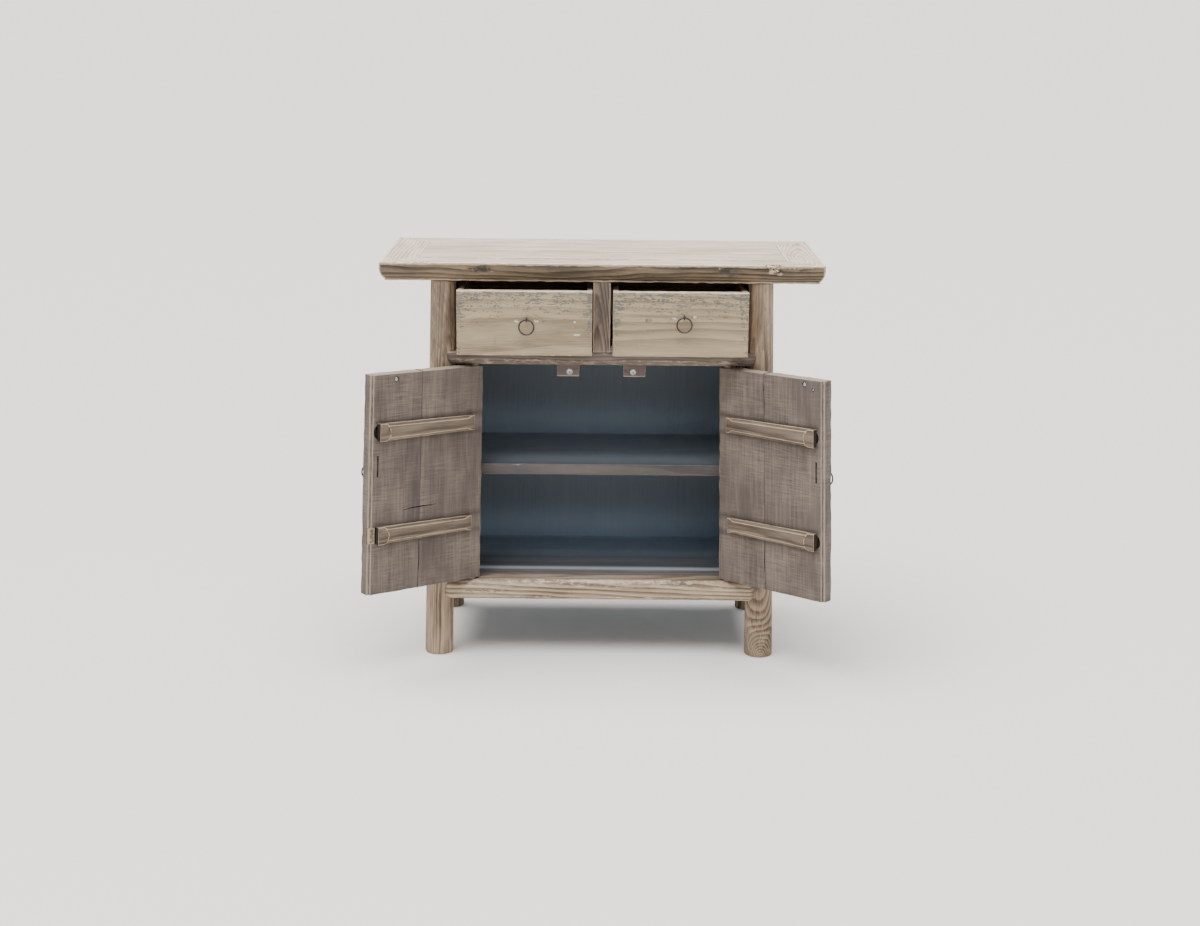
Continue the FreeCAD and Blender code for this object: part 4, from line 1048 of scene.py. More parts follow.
class Forms:
    """Every Geometry Nodes tree, each built once."""

    def __init__(self) -> None:
        """Build the trees."""
        self.ring = self.hammered_ring()
        self.heads = self.driven_heads()

    @staticmethod
    def hammered_ring() -> Form:
        """A ring of round wire bent by hand, lying in the plane of X and Y."""
        form = Form("hammered_ring", [
            ("Material", "NodeSocketMaterial", None), ("Radius", "NodeSocketFloat", 0.0158),
            ("Wire Radius", "NodeSocketFloat", 0.0017), ("Turns", "NodeSocketInt", 96),
            ("Wire Sides", "NodeSocketInt", 14), ("Dents", "NodeSocketFloat", 0.0003),
            ("Dent Size", "NodeSocketFloat", 180.0),
        ])
        graph, source = form.graph, form.source
        path = graph.add("GeometryNodeCurvePrimitiveCircle", {"Resolution": source.outputs["Turns"],
                                                              "Radius": source.outputs["Radius"]})
        wire = graph.add("GeometryNodeCurvePrimitiveCircle", {"Resolution": source.outputs["Wire Sides"],
                                                              "Radius": source.outputs["Wire Radius"]})
        tube = graph.add("GeometryNodeCurveToMesh", {"Curve": path.outputs[0], "Profile Curve": wire.outputs[0]})
        dents = graph.add("ShaderNodeTexNoise", {"Scale": source.outputs["Dent Size"], "Detail": 1.0})
        depth = graph.times(dents.outputs["Fac"], source.outputs["Dents"])
        inward = graph.times(depth, -1.0)
        normal = graph.add("GeometryNodeInputNormal")
        offset = graph.add("ShaderNodeVectorMath", {0: normal.outputs[0], "Scale": inward}, {"operation": "SCALE"})
        dented = graph.add("GeometryNodeSetPosition", {"Geometry": tube.outputs[0], "Offset": offset.outputs[0]})
        return form.close(dented.outputs[0])

    @staticmethod
    def driven_heads() -> Form:
        """Low domed heads of nails and screws on given points, facing +Z."""
        form = Form("driven_heads", [
            ("Points", "NodeSocketGeometry", None), ("Material", "NodeSocketMaterial", None),
            ("Radius", "NodeSocketFloat", 0.003), ("Rise", "NodeSocketFloat", 0.4),
            ("Seed", "NodeSocketInt", 7),
        ])
        graph, source = form.graph, form.source
        head = graph.add("GeometryNodeMeshUVSphere", {"Segments": 16, "Rings": 8,
                                                      "Radius": source.outputs["Radius"]})
        squash = graph.add("ShaderNodeCombineXYZ", {0: 1.0, 1: 1.0, 2: source.outputs["Rise"]})
        low = graph.add("GeometryNodeTransform", {"Geometry": head.outputs[0], "Scale": squash.outputs[0]})
        spin = graph.add("FunctionNodeRandomValue", {"Seed": source.outputs["Seed"]}, {"data_type": "FLOAT"})
        turn = graph.add("ShaderNodeCombineXYZ", {2: graph.times(spin.outputs[1], 6.28)})
        spread = graph.add("GeometryNodeInstanceOnPoints", {"Points": source.outputs["Points"],
                                                            "Instance": low.outputs[0], "Rotation": turn.outputs[0]})
        return form.close(spread.outputs[0])


# Sub-assemblies

def stand_for(piece: bpy.types.Object, node: str | None, body: str = "case") -> None:
    """Put a finished piece on a body, in place of its CAD node if it has one."""
    if node:
        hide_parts(node)
    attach(piece, body)
    LOG.info("piece built: %s", piece.name)

def dress(node: str, material: bpy.types.Material) -> None:
    """Give a CAD node that stays in view its finish."""
    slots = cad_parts[node].data.materials
    slots.clear()
    slots.append(material)
    LOG.info("CAD node dressed: %s", node)

@dataclass
class TopSlab:
    """The framed top: four mitred members with a moulded edge, and three flush boards."""

    member: float = 0.078
    plumb: float = 0.013
    bead: float = 0.004
    undercut: float = 0.011
    arris: float = 0.0022
    joint: float = 0.00025
    panel_thickness: float = 0.018
    seam_shares: tuple[float, float] = (-0.22, 0.38)
    pieces: list[bpy.types.Object] = field(default_factory=list)

    def edge_outline(self) -> Array:
        """Section of a member: u inward from the outer arris, v down from the top."""
        thickness = BODY.height - BODY.underside
        fall = thickness - self.plumb - self.bead
        radius = (self.undercut ** 2 + fall ** 2) / (2 * self.undercut)
        end = math.asin(fall / radius)
        corners = [(self.undercut, -thickness, 0.0008), (self.member, -thickness, 0.0005),
                   (self.member, 0.0, 0.0007), (0.0, 0.0, self.arris), (0.0, -self.plumb, 0.0)]
        for step in range(1, 8):
            turn = math.pi + end * step / 8
            corners.append((radius + radius * math.cos(turn), -self.plumb + radius * math.sin(turn), 0.0))
        corners.append((self.undercut, self.bead - thickness, 0.0))
        return rounded_outline(corners, 0.005)

    def member_blank(self, length: float, heart: tuple[float, float, float], tilt: tuple[float, float],
                     marks: Sequence[Mark], seed: float) -> Blank:
        """One member with mitred ends, centred on x."""
        blank = Blank.board(length, self.edge_outline(), spacing=0.0032, end_round=0.0004, band=0.006)
        blank.points[:, 0] -= length / 2
        blank.figured(heart, tilt).marked(marks)
        blank.weathered(Weathering(0.0005, 0.15, 0.02, 0.0018, 0.017, seed))
        share = blank.points[:, 0] / (length / 2)
        blank.points[:, 0] = share * (length / 2 - np.clip(blank.points[:, 1], 0, None) - self.joint)
        return blank

    def front_marks(self) -> list[Mark]:
        """Knot gouges, chips and the split on the front member."""
        return [
            Mark((-0.258, 0.002, -0.015), (0.034, 0.02, 0.011), 0.0050, soil=1.3),
            Mark((-0.268, 0.002, -0.012), (0.014, 0.02, 0.0035), 0.0, wear=0.75),
            Mark((-0.236, 0.002, -0.018), (0.014, 0.02, 0.0045), 0.0020, wear=0.8),
            Mark((0.264, 0.002, -0.014), (0.034, 0.02, 0.009), 0.0046, soil=1.3),
            Mark((0.252, 0.002, -0.011), (0.009, 0.02, 0.003), 0.0, wear=0.9),
            Mark((0.278, 0.003, -0.024), (0.018, 0.02, 0.005), 0.0014, soil=0.8),
            Mark((0.366, 0.001, -0.004), (0.025, 0.014, 0.014), 0.0075, soil=0.9),
            Mark((0.364, 0.002, -0.012), (0.024, 0.016, 0.011), 0.0020, wear=0.95),
            Mark((0.380, 0.002, -0.020), (0.014, 0.012, 0.006), 0.0020, wear=0.8),
            Mark((0.410, 0.002, -0.009), (0.026, 0.012, 0.006), 0.0006, wear=0.5),
            Mark((0.430, 0.001, -0.010), (0.018, 0.01, 0.006), 0.0025, soil=0.9),
            Mark((-0.400, 0.0, 0.0), (0.056, 0.0045, 0.0035), 0.0022, wear=0.9),
            Mark((-0.440, 0.0, -0.001), (0.018, 0.004, 0.003), 0.0012, wear=0.5),
            Mark((0.05, 0.006, -0.026), (0.20, 0.02, 0.008), 0.0004, soil=0.35),
            Mark((-0.10, 0.003, -0.013), (0.11, 0.02, 0.006), 0.0003, soil=0.35),
            Mark((0.022, 0.0, 0.0), (0.006, 0.004, 0.003), 0.0022, wear=0.8),
        ]

    def build(self, finishes: Finishes) -> None:
        """Make the members and boards and dress them."""
        half_x, half_y, top = BODY.top_width / 2, BODY.top_depth / 2, BODY.height
        front = self.member_blank(BODY.top_width, (0.8, 0.10, -0.055), (0.015, 0.03), self.front_marks(), 3.1)
        front.placed(along_x(0, -half_y, top))
        back = self.member_blank(BODY.top_width, (3.3, 0.09, -0.07), (0.01, -0.02), [
            Mark((0.18, 0.001, -0.012), (0.03, 0.01, 0.008), 0.002, soil=0.8)], 8.4)
        back.placed(turned_back(along_x(0, -half_y, top)))
        for name, blank in (("top_front_member", front), ("top_back_member", back)):
            self.keep(blank.piece(name, finishes.top_edge), finishes)
        for side, heart, tilt in ((Side.LEFT, (9.4, 0.20, -0.10), (0.01, 0.01)),
                                  (Side.RIGHT, (6.9, 0.040, -0.012), (0.03, 0.10))):
            marks = [Mark((-0.17, 0.0, -0.01), (0.02, 0.01, 0.008), 0.002, soil=0.8)] if side is Side.RIGHT else []
            end = self.member_blank(BODY.top_depth, heart, tilt, marks, 11.0 + side.value)
            end.placed(lambda points, side=side: np.column_stack([
                side.value * (half_x - points[:, 1]), side.value * points[:, 0], top + points[:, 2]]))
            self.keep(end.piece(f"top_{side.word}_end_member", finishes.top_edge), finishes)
        self.build_boards(finishes)
        replaced = ("top_front_rail", "top_back_rail", "top_left_end", "top_right_end", "top_panel")
        for piece, node in zip(self.pieces, replaced):
            stand_for(piece, node)

    def keep(self, piece: bpy.types.Object, finishes: Finishes) -> None:
        """Give a member's upper face its paler finish and keep the piece."""
        piece.data.materials.append(finishes.top_face)
        upper = [1 if abs(polygon.normal.z) > 0.8 and polygon.center.z > BODY.underside + 0.02 else 0
                 for polygon in piece.data.polygons]
        piece.data.polygons.foreach_set("material_index", upper)
        self.pieces.append(piece)

    def build_boards(self, finishes: Finishes) -> None:
        """The three boards inside the frame."""
        half_x = BODY.top_width / 2 - self.member - self.joint
        half_y = BODY.top_depth / 2 - self.member - self.joint
        seams = [-half_y] + [share * half_y for share in self.seam_shares] + [half_y]
        hearts = ((0.4, 0.20, -0.05), (2.1, 0.03, -0.07), (4.6, -0.05, -0.04))
        blanks = []
        for index, (low, high) in enumerate(zip(seams, seams[1:])):
            outline = box_outline(high - low, self.panel_thickness, 0.0007, 0.010)
            board = Blank.board(2 * half_x, outline, spacing=0.012, end_round=0.0007, band=0.003)
            board.figured(hearts[index], (0.02, 0.03 * (index - 1)))
            board.jointed(Weathering(0.0004, 0.2, 0.04, 0.0007, 0.02, 20.0 + index))
            board.placed(along_x(-half_x, low, BODY.height - self.panel_thickness))
            blanks.append(board)
        self.pieces.append(Blank.joined(blanks).piece("top_boards", finishes.top_face))


@dataclass
class Posts:
    """Four round posts that lean outward and thin towards their heads."""

    foot_bevel: float = 0.003
    sides: int = 72

    def blank(self, seed: float, heart: tuple[float, float, float], tilt: tuple[float, float],
              arches: tuple[float, float] | None, marks: Sequence[Mark]) -> Blank:
        """One post round its own axis, foot at x = 0."""
        height = BODY.underside
        blank = Blank.board(height, lambda z: circle_outline(BODY.post_radius(z), self.sides), spacing=0.010,
                            end_round=self.foot_bevel, band=0.004)
        blank.figured(heart, tilt, arches).marked(marks)
        return blank.weathered(Weathering(0.0007, 0.25, 0.012, 0.0012, 0.015, seed))

    def build(self, finishes: Finishes) -> None:
        """Make the four posts and dress them."""
        # The front posts darken over their upper inner front.
        upper_inner_darkening = [
            Mark((0.76, -0.024, -0.012), (0.11, 0.012, 0.016), 0.0004, soil=0.42),
            Mark((0.70, -0.018, -0.020), (0.05, 0.008, 0.010), 0.0006, soil=0.35),
            Mark((0.665, -0.020, -0.015), (0.02, 0.02, 0.02), 0.0003, soil=0.6),
            Mark((0.75, 0.006, -0.028), (0.17, 0.034, 0.03), 0.0003, soil=0.3, stain=0.85),
        ]
        plans = (
            ("front_left_leg", Side.LEFT, True, (0.3, 0.030, 0.046), (0.004, 0.006), None),
            ("front_right_leg", Side.RIGHT, True, (2.9, 0.003, 0.016), (0.0, 0.002), (0.047, 0.075)),
            ("rear_left_leg", Side.LEFT, False, (4.7, -0.036, 0.045), (0.004, 0.002), None),
            ("rear_right_leg", Side.RIGHT, False, (6.1, 0.048, 0.034), (-0.004, 0.004), None),
        )
        for index, (node, side, front, heart, tilt, arches) in enumerate(plans):
            marks = upper_inner_darkening if front else []
            if front and side is Side.LEFT:
                marks = marks + [Mark((0.76, 0.0, -0.03), (0.22, 0.06, 0.04), 0.0002, soil=0.42)]
            post = self.blank(31.0 + 3 * index, heart, tilt, arches, marks)
            y = BODY.spread_y * (-1 if front else 1)
            post.placed(lambda points, side=side, y=y: np.column_stack([
                side.value * (BODY.post_x(points[:, 0]) + points[:, 1]), y + points[:, 2], points[:, 0]]))
            stand_for(post.piece(node + "_post", finishes.post), node)


@dataclass
class Rails:
    """Rounded rails that run into the posts, and the post between the drawers."""

    drawer_face: float = -0.1965
    bottom_face: float = -0.200
    depth: float = 0.052
    side_half_width: float = 0.022
    drawer_tip: float = 0.0060
    bottom_tip: float = 0.0065
    divider_width: float = 0.0386
    divider_depth: float = 0.040

    def dirty_ends(self, blank: Blank, axis_x: float, radius: float) -> Blank:
        """Darken a placed rail where it meets the front posts: painted shade in the joint."""
        for sign in (-1, 1):
            away = np.hypot(blank.points[:, 0] - sign * axis_x, np.abs(blank.points[:, 1]) - BODY.spread_y)
            blank.soil = np.maximum(blank.soil, np.clip(1 - np.abs(away - radius) / 0.0045, 0, 1) * 0.9)
        return blank

    def front_rail(self, face: float, bottom: float, top: float, rounds: tuple[float, float],
                   tip: float, heart: tuple[float, float, float], tilt: tuple[float, float],
                   marks: Sequence[Mark], seed: float) -> Blank:
        """A rail along X with a rounded face that thins to blunt tips over the posts.

        Args:
            face: how far forward the rail's face lies.
            bottom: height of its underside.
            top: height of its upper side.
            rounds: radius of its lower and upper front arris.
            tip: distance from a post's axis to the rail's tip.
            heart: where the tree's heart lies.
            tilt: how fast the heart wanders off.
            marks: hollows and stains.
            seed: choice of the noise.

        Returns:
            The rail in its place.
        """
        middle = (bottom + top) / 2
        half = BODY.post_x(middle) - tip
        reach = (top - bottom) * 0.42

        def section(x: float) -> Array:
            """The rail's section, smaller towards both tips."""
            gone = max(0.0, 1 - min(x, 2 * half - x) / reach)
            keep = math.sqrt(max(0.0, 1 - (0.93 * gone) ** 2))
            low, high = middle - (middle - bottom) * keep, middle + (top - middle) * keep
            front = face + 0.0035 * gone ** 2
            limit = 0.98 * (high - low)
            scale = min(1.0, limit / (rounds[0] + rounds[1]))
            return rounded_outline([(front, low, rounds[0] * scale), (face + self.depth, low, 0.001),
                                    (face + self.depth, high, 0.001), (front, high, rounds[1] * scale)],
                                   0.006, 7, parts=(6, 4, 6, 3))

        rail = Blank.board(2 * half, section, spacing=0.0045, end_round=0.0008, band=0.003)
        rail.points[:, 0] -= half
        rail.wear *= 0.5
        rail.soil = 0.5 * np.clip(1 - (top - rail.points[:, 2]) / 0.010, 0, 1)
        rail.figured(heart, tilt).marked(marks).weathered(Weathering(0.0006, 0.16, 0.018, 0.0008, 0.02, seed))
        return self.dirty_ends(rail, BODY.post_x(middle), BODY.post_radius(middle))

    def side_rail(self, bottom: float, top: float, seed: float) -> Blank:
        """A right-hand rail along Y, rounded on its outer face."""
        half = self.side_half_width
        middle = (bottom + top) / 2
        outline = rounded_outline([(bottom, -half, 0.001), (top, -half, 0.001), (top, half, 0.008),
                                   (bottom, half, 0.008)], 0.006, 5)
        rail = Blank.board(2 * BODY.spread_y, outline, spacing=0.010, end_round=0.0005, band=0.003)
        rail.figured((seed, 0.5, 0.05), (0.01, 0.02))
        rail.weathered(Weathering(0.0006, 0.14, 0.02, 0.0006, 0.02, seed))
        rail.placed(along_y(BODY.post_x(middle), -BODY.spread_y, 0.0))
        return self.dirty_ends(rail, BODY.post_x(middle), BODY.post_radius(middle))

    def finish(self, blank: Blank, node: str, material: bpy.types.Material) -> None:
        """Make a piece that stands for one CAD node of the case."""
        stand_for(blank.piece(node + "_rail", material), node)

    def build(self, finishes: Finishes) -> None:
        """Make all rails and dress them."""
        low, high = BODY.bottom_rail_bottom, BODY.bottom_rail_top
        drawer_low, drawer_high = BODY.drawer_rail_bottom, BODY.drawer_rail_top
        bottom_marks = [
            Mark((-0.28, -0.2, 0.150), (0.09, 0.02, 0.006), 0.0003, soil=0.3, stain=1.0),
            Mark((-0.22, -0.2, 0.150), (0.13, 0.02, 0.007), 0.0002, stain=0.9),
            Mark((-0.132, -0.2, 0.1385), (0.034, 0.02, 0.0035), 0.0018, soil=1.2),
            Mark((-0.160, -0.2, 0.134), (0.05, 0.02, 0.004), 0.0012, soil=0.5),
            Mark((0.20, -0.2, 0.132), (0.12, 0.02, 0.004), 0.0012, soil=0.3),
            Mark((0.30, -0.2, 0.155), (0.05, 0.02, 0.01), 0.0003, stain=0.8),
            Mark((0.02, -0.19, 0.172), (0.30, 0.02, 0.006), 0.0003, wear=0.35),
            Mark((0.12, -0.2, 0.152), (0.16, 0.02, 0.003), 0.0004, soil=0.25),
        ]
        drawer_marks = [
            Mark((0.292, -0.196, 0.668), (0.022, 0.02, 0.012), 0.0012, soil=0.9),
            Mark((-0.31, -0.196, 0.664), (0.02, 0.02, 0.012), 0.0004, soil=0.5),
        ]
        drawer_rounds, bottom_rounds = (0.016, 0.004), (0.010, 0.017)
        front = self.front_rail(self.drawer_face, drawer_low, drawer_high, drawer_rounds, self.drawer_tip,
                                (1.3, -0.12, 0.60), (0.01, 0.02), drawer_marks, 41.0)
        self.finish(front, "drawer_rail", finishes.rail)
        front = self.front_rail(self.bottom_face, low, high, bottom_rounds, self.bottom_tip,
                                (3.7, -0.15, 0.10), (0.0, 0.025), bottom_marks, 43.0)
        self.finish(front, "bottom_rail", finishes.rail_bottom)
        for node, face, z0, z1, rounds, seed in (
                ("rear_drawer_rail", self.drawer_face, drawer_low, drawer_high, drawer_rounds, 45.0),
                ("rear_bottom_rail", self.bottom_face, low, high, bottom_rounds, 47.0)):
            rear = self.front_rail(face, z0, z1, rounds, self.bottom_tip, (seed, -0.13, z0 - 0.05),
                                   (0.0, 0.02), [], seed)
            rear.points[:, 1] *= -1
            rear.soil *= 0.3
            rear.stain = (rear.points[:, 1] < BODY.spread_y - 0.004).astype(float)
            self.finish(rear, node, finishes.case)
        for side in Side:
            for node, z0, z1, seed in (("drawer_side_rail", drawer_low, drawer_high, 51.0),
                                       ("bottom_side_rail", low, high, 53.0)):
                rail = self.side_rail(z0, z1, seed + side.value)
                rail.stain = (rail.points[:, 0] < BODY.post_x((z0 + z1) / 2) - 0.004).astype(float)
                rail.points[:, 0] *= side.value
                self.finish(rail, f"{side.word}_{node}", finishes.case)
        self.build_divider(finishes)

    def build_divider(self, finishes: Finishes) -> None:
        """The short post between the drawers."""
        low, high = BODY.drawer_rail_top, BODY.underside
        post = Blank.board(high - low, box_outline(self.divider_width, self.divider_depth, 0.0022, 0.006),
                           spacing=0.008, end_round=0.0005, band=0.003)
        post.figured((7.7, 0.012, -0.02), (0.03, 0.06))
        post.marked([Mark((0.09, 0.019, 0.0), (0.07, 0.022, 0.01), 0.0004, soil=0.55, stain=0.8),
                     Mark((0.02, 0.034, 0.0), (0.03, 0.008, 0.01), 0.0004, soil=0.6)])
        post.weathered(Weathering(0.0005, 0.05, 0.012, 0.001, 0.015, 57.0))
        post.placed(along_z(-self.divider_width / 2, self.drawer_face, low))
        stand_for(post.piece("drawer_divider_post", finishes.post_shade), "drawer_divider")


@dataclass
class CaseBoards:
    """Side, back, floor and shelf boards, and the strips beside the doors."""

    side_thickness: float = 0.014
    back_thickness: float = 0.012
    tongue: float = 0.008
    side_seam: float = 0.0425
    back_seams: tuple[float, float, float] = (-0.1841, -0.0212, 0.1629)
    jamb_front: float = -0.170
    jamb_thickness: float = 0.018
    jamb_from_pivot: float = 0.0148
    floor_half_x: float = 0.3417
    floor_half_y: float = 0.1577
    floor_thickness: float = 0.016
    floor_seams: tuple[float, float] = (-0.0592, 0.0444)
    shelf_front: float = -0.146
    shelf_bottom: float = 0.402
    shelf_top: float = 0.426
    shelf_half_x: float = 0.3415
    shelf_back: float = 0.1637
    shelf_seam: float = 0.0085

    def upright(self, length: float, width: float, thickness: float, seed: float) -> Blank:
        """A board of the case with a dark coat on its inner face, at the lowest v."""
        board = Blank.board(length, box_outline(width, thickness, 0.0004, 0.012), spacing=0.014,
                            end_round=0.0004, band=0.003)
        board.stain = (board.points[:, 2] < thickness / 2).astype(float)
        heart = (seed * 1.7, 0.5 * width + 0.03 * math.sin(seed), -0.04)
        board.figured(heart, (0.01, 0.03 * math.cos(seed)))
        return board.jointed(Weathering(0.0004, 0.2, 0.03, 0.0006, 0.02, seed))

    def finish(self, blanks: Sequence[Blank], name: str, node: str, slot: str,
               material: bpy.types.Material) -> None:
        """Join boards into one piece that stands for one CAD node."""
        stand_for(Blank.joined(blanks).piece(name, material), node)

    def build_sides(self, finishes: Finishes) -> None:
        """The lower side panels of two boards, and the boards beside the drawers."""
        low, high = BODY.bottom_rail_top - self.tongue, BODY.drawer_rail_bottom + self.tongue
        reach = BODY.spread_y - BODY.post_radius((low + high) / 2) + self.tongue
        upper_low, upper_high = BODY.drawer_rail_top - self.tongue, BODY.underside - 0.0005
        upper_reach = BODY.spread_y - BODY.post_radius((upper_low + upper_high) / 2) + self.tongue
        thick = self.side_thickness
        for side in Side:
            blanks = []
            spans = ((-reach, self.side_seam), (self.side_seam, reach))
            for index, (y0, y1) in enumerate(spans):
                board = self.upright(high - low, y1 - y0, thick, 61.0 + index + 3 * side.value)
                # Painted shade: the inner faces' coat is darkened.
                board.stain *= 1.5
                board.placed(lambda points, side=side, y0=y0: np.column_stack([
                    side.value * (BODY.post_x(low + points[:, 0]) - thick / 2 + points[:, 2]),
                    y0 + points[:, 1], low + points[:, 0]]))
                blanks.append(board)
            self.finish(blanks, f"{side.word}_side_boards", f"{side.word}_side_panel", "case_board_wood",
                        finishes.case)
            board = self.upright(2 * upper_reach, upper_high - upper_low, thick, 67.0 + side.value)
            board.placed(lambda points, side=side: np.column_stack([
                side.value * (BODY.post_x(upper_low + points[:, 1]) - thick / 2 + points[:, 2]),
                -upper_reach + points[:, 0], upper_low + points[:, 1]]))
            self.finish([board], f"{side.word}_upper_board", f"{side.word}_upper_side_board",
                        "case_board_wood", finishes.case)

    def end_x(self, z: Array | float) -> Array | float:
        """Where the back boards' ends lie in the posts at a height."""
        return BODY.post_x(z) - BODY.post_radius(z) + self.tongue

    def gloom(self, z: Array) -> Array:
        """How much painted shade darkens the back's coat, from none at the foot of each compartment to most near its
        top.
        """
        lower = (z - BODY.bottom_rail_top) / (self.shelf_bottom - BODY.bottom_rail_top)
        upper = (z - self.shelf_top) / (BODY.drawer_rail_bottom - self.shelf_top)
        rise = np.where(z < self.shelf_top, lower, upper)
        return 0.6 * (1 - np.exp(-(rise / 0.25) ** 2))

    def build_back(self, finishes: Finishes) -> None:
        """The lower back panel of four boards and the board above it."""
        y = BODY.spread_y - self.back_thickness / 2
        low, high = BODY.bottom_rail_top - self.tongue, BODY.drawer_rail_bottom + self.tongue
        seams = [-self.end_x(low)] + list(self.back_seams) + [self.end_x(low)]
        blanks = []
        for index, (x0, x1) in enumerate(zip(seams, seams[1:])):
            board = self.upright(high - low, x1 - x0, self.back_thickness, 71.0 + index)
            board.placed(along_z(x0, y, low))
            # Painted shade: the coat darkens up each compartment.
            board.stain *= 1 + self.gloom(board.points[:, 2])
            limit = self.end_x(board.points[:, 2])
            board.points[:, 0] = np.clip(board.points[:, 0], -limit, limit)
            blanks.append(board)
        self.finish(blanks, "back_boards", "back_panel", "case_board_wood", finishes.case)
        low, high = BODY.drawer_rail_top - self.tongue, BODY.underside - 0.0005
        half = self.end_x(low)
        board = self.upright(2 * half, high - low, self.back_thickness, 77.0)
        board.placed(lambda points: np.column_stack([
            -half + points[:, 0], y + points[:, 2], low + points[:, 1]]))
        limit = self.end_x(board.points[:, 2])
        board.points[:, 0] = np.clip(board.points[:, 0], -limit, limit)
        self.finish([board], "upper_back_face", "upper_back_board", "case_board_wood", finishes.case)

    def build_floor(self, finishes: Finishes) -> None:
        """Three floor boards."""
        seams = [-self.floor_half_y] + list(self.floor_seams) + [self.floor_half_y]
        bottom = BODY.bottom_rail_top - 0.0003 - self.floor_thickness
        blanks = []
        for index, (y0, y1) in enumerate(zip(seams, seams[1:])):
            outline = box_outline(y1 - y0, self.floor_thickness, 0.001, 0.01)
            board = Blank.board(2 * self.floor_half_x, outline, spacing=0.012, end_round=0.0005, band=0.003)
            board.figured((9.0 + index, 0.09 - 0.05 * index, -0.06), (0.02, 0.02))
            board.jointed(Weathering(0.0005, 0.16, 0.03, 0.0008, 0.02, 81.0 + index))
            board.placed(along_x(-self.floor_half_x, y0, bottom))
            y = board.points[:, 1]
            # Painted shade: the coat darkens towards the front of the floor, where light reaches.
            painted_shade = 0.62 * np.clip((0.045 - y) / 0.05, 0, 1) + 0.2 * np.clip((-0.02 - y) / 0.05, 0, 1)
            board.stain = np.clip((y + 0.118) / 0.04, 0, 1) * (1 + painted_shade)
            blanks.append(board)
        self.finish(blanks, "floor_planks", "floor_boards", "inner_wood", finishes.floor)

    def build_shelf(self, finishes: Finishes) -> None:
        """The shelf's two boards, its front arris rounded by use."""
        blanks = []
        thick = self.shelf_top - self.shelf_bottom
        spans = ((self.shelf_front, self.shelf_seam), (self.shelf_seam, self.shelf_back))
        for index, (y0, y1) in enumerate(spans):
            outline = box_outline(y1 - y0, thick, 0.002 if index == 0 else 0.001, 0.006)
            board = Blank.board(2 * self.shelf_half_x, outline, spacing=0.010, end_round=0.0005, band=0.004)
            board.figured((12.0 + index, 0.12 - 0.06 * index, 0.05), (0.01, 0.03))
            board.marked([Mark((0.16, 0.0, 0.024), (0.014, 0.006, 0.006), 0.003, soil=0.8),
                          Mark((0.44, 0.0, 0.0), (0.03, 0.006, 0.004), 0.0015, soil=0.6)] if index == 0 else [])
            board.jointed(Weathering(0.0004, 0.18, 0.03, 0.0007, 0.02, 87.0 + index), low=index == 1)
            board.placed(along_x(-self.shelf_half_x, y0, self.shelf_bottom))
            board.wear *= 0.4
            behind = board.points[:, 1] - self.shelf_front
            board.soil = np.maximum(board.soil, 0.55 * np.clip(1 - behind / 0.004, 0, 1))
            # Painted shade: the coat darkens over the first 10 cm behind the front edge, where light reaches.
            board.stain = np.clip((behind - 0.001) / 0.004, 0, 1) * (1 + 0.74 * np.clip(1 - behind / 0.10, 0, 1))
            blanks.append(board)
        self.finish(blanks, "shelf_planks", "shelf", "inner_wood", finishes.floor)

    def build_jambs(self, finishes: Finishes) -> None:
        """The fixed strips between the front posts and the doors."""
        low, high = BODY.bottom_rail_top, BODY.drawer_rail_bottom
        for side in Side:
            board = self.jamb_blank(high - low)
            board.figured((14.0 + side.value, 0.05, 0.03), (0.0, 0.02))
            board.weathered(Weathering(0.0004, 0.1, 0.02, 0.0008, 0.02, 93.0 + side.value))

            def put(points: Array, side: Side = side) -> Array:
                """Stretch the strip between its leaning edges."""
                z = low + points[:, 0]
                inner = BODY.pivot_x(z) + self.jamb_from_pivot
                outer = BODY.post_x(z) - BODY.post_radius(z) + 0.004
                x = inner + (outer - inner) * points[:, 1] / 0.026
                return np.column_stack([side.value * x, self.jamb_front + points[:, 2], z])

            board.placed(put)
            self.finish([board], f"{side.word}_jamb_strip", f"{side.word}_jamb", "rail_wood", finishes.rail)

    def jamb_blank(self, length: float) -> Blank:
        """A strip 26 mm wide, before it is stretched into place."""
        return Blank.board(length, box_outline(0.026, self.jamb_thickness, 0.0012, 0.006), spacing=0.014,
                           end_round=0.0004, band=0.003)

    def build(self, finishes: Finishes) -> None:
        """Make all boards and dress them."""
        self.build_sides(finishes)
        self.build_back(finishes)
        self.build_floor(finishes)
        self.build_shelf(finishes)
        self.build_jambs(finishes)


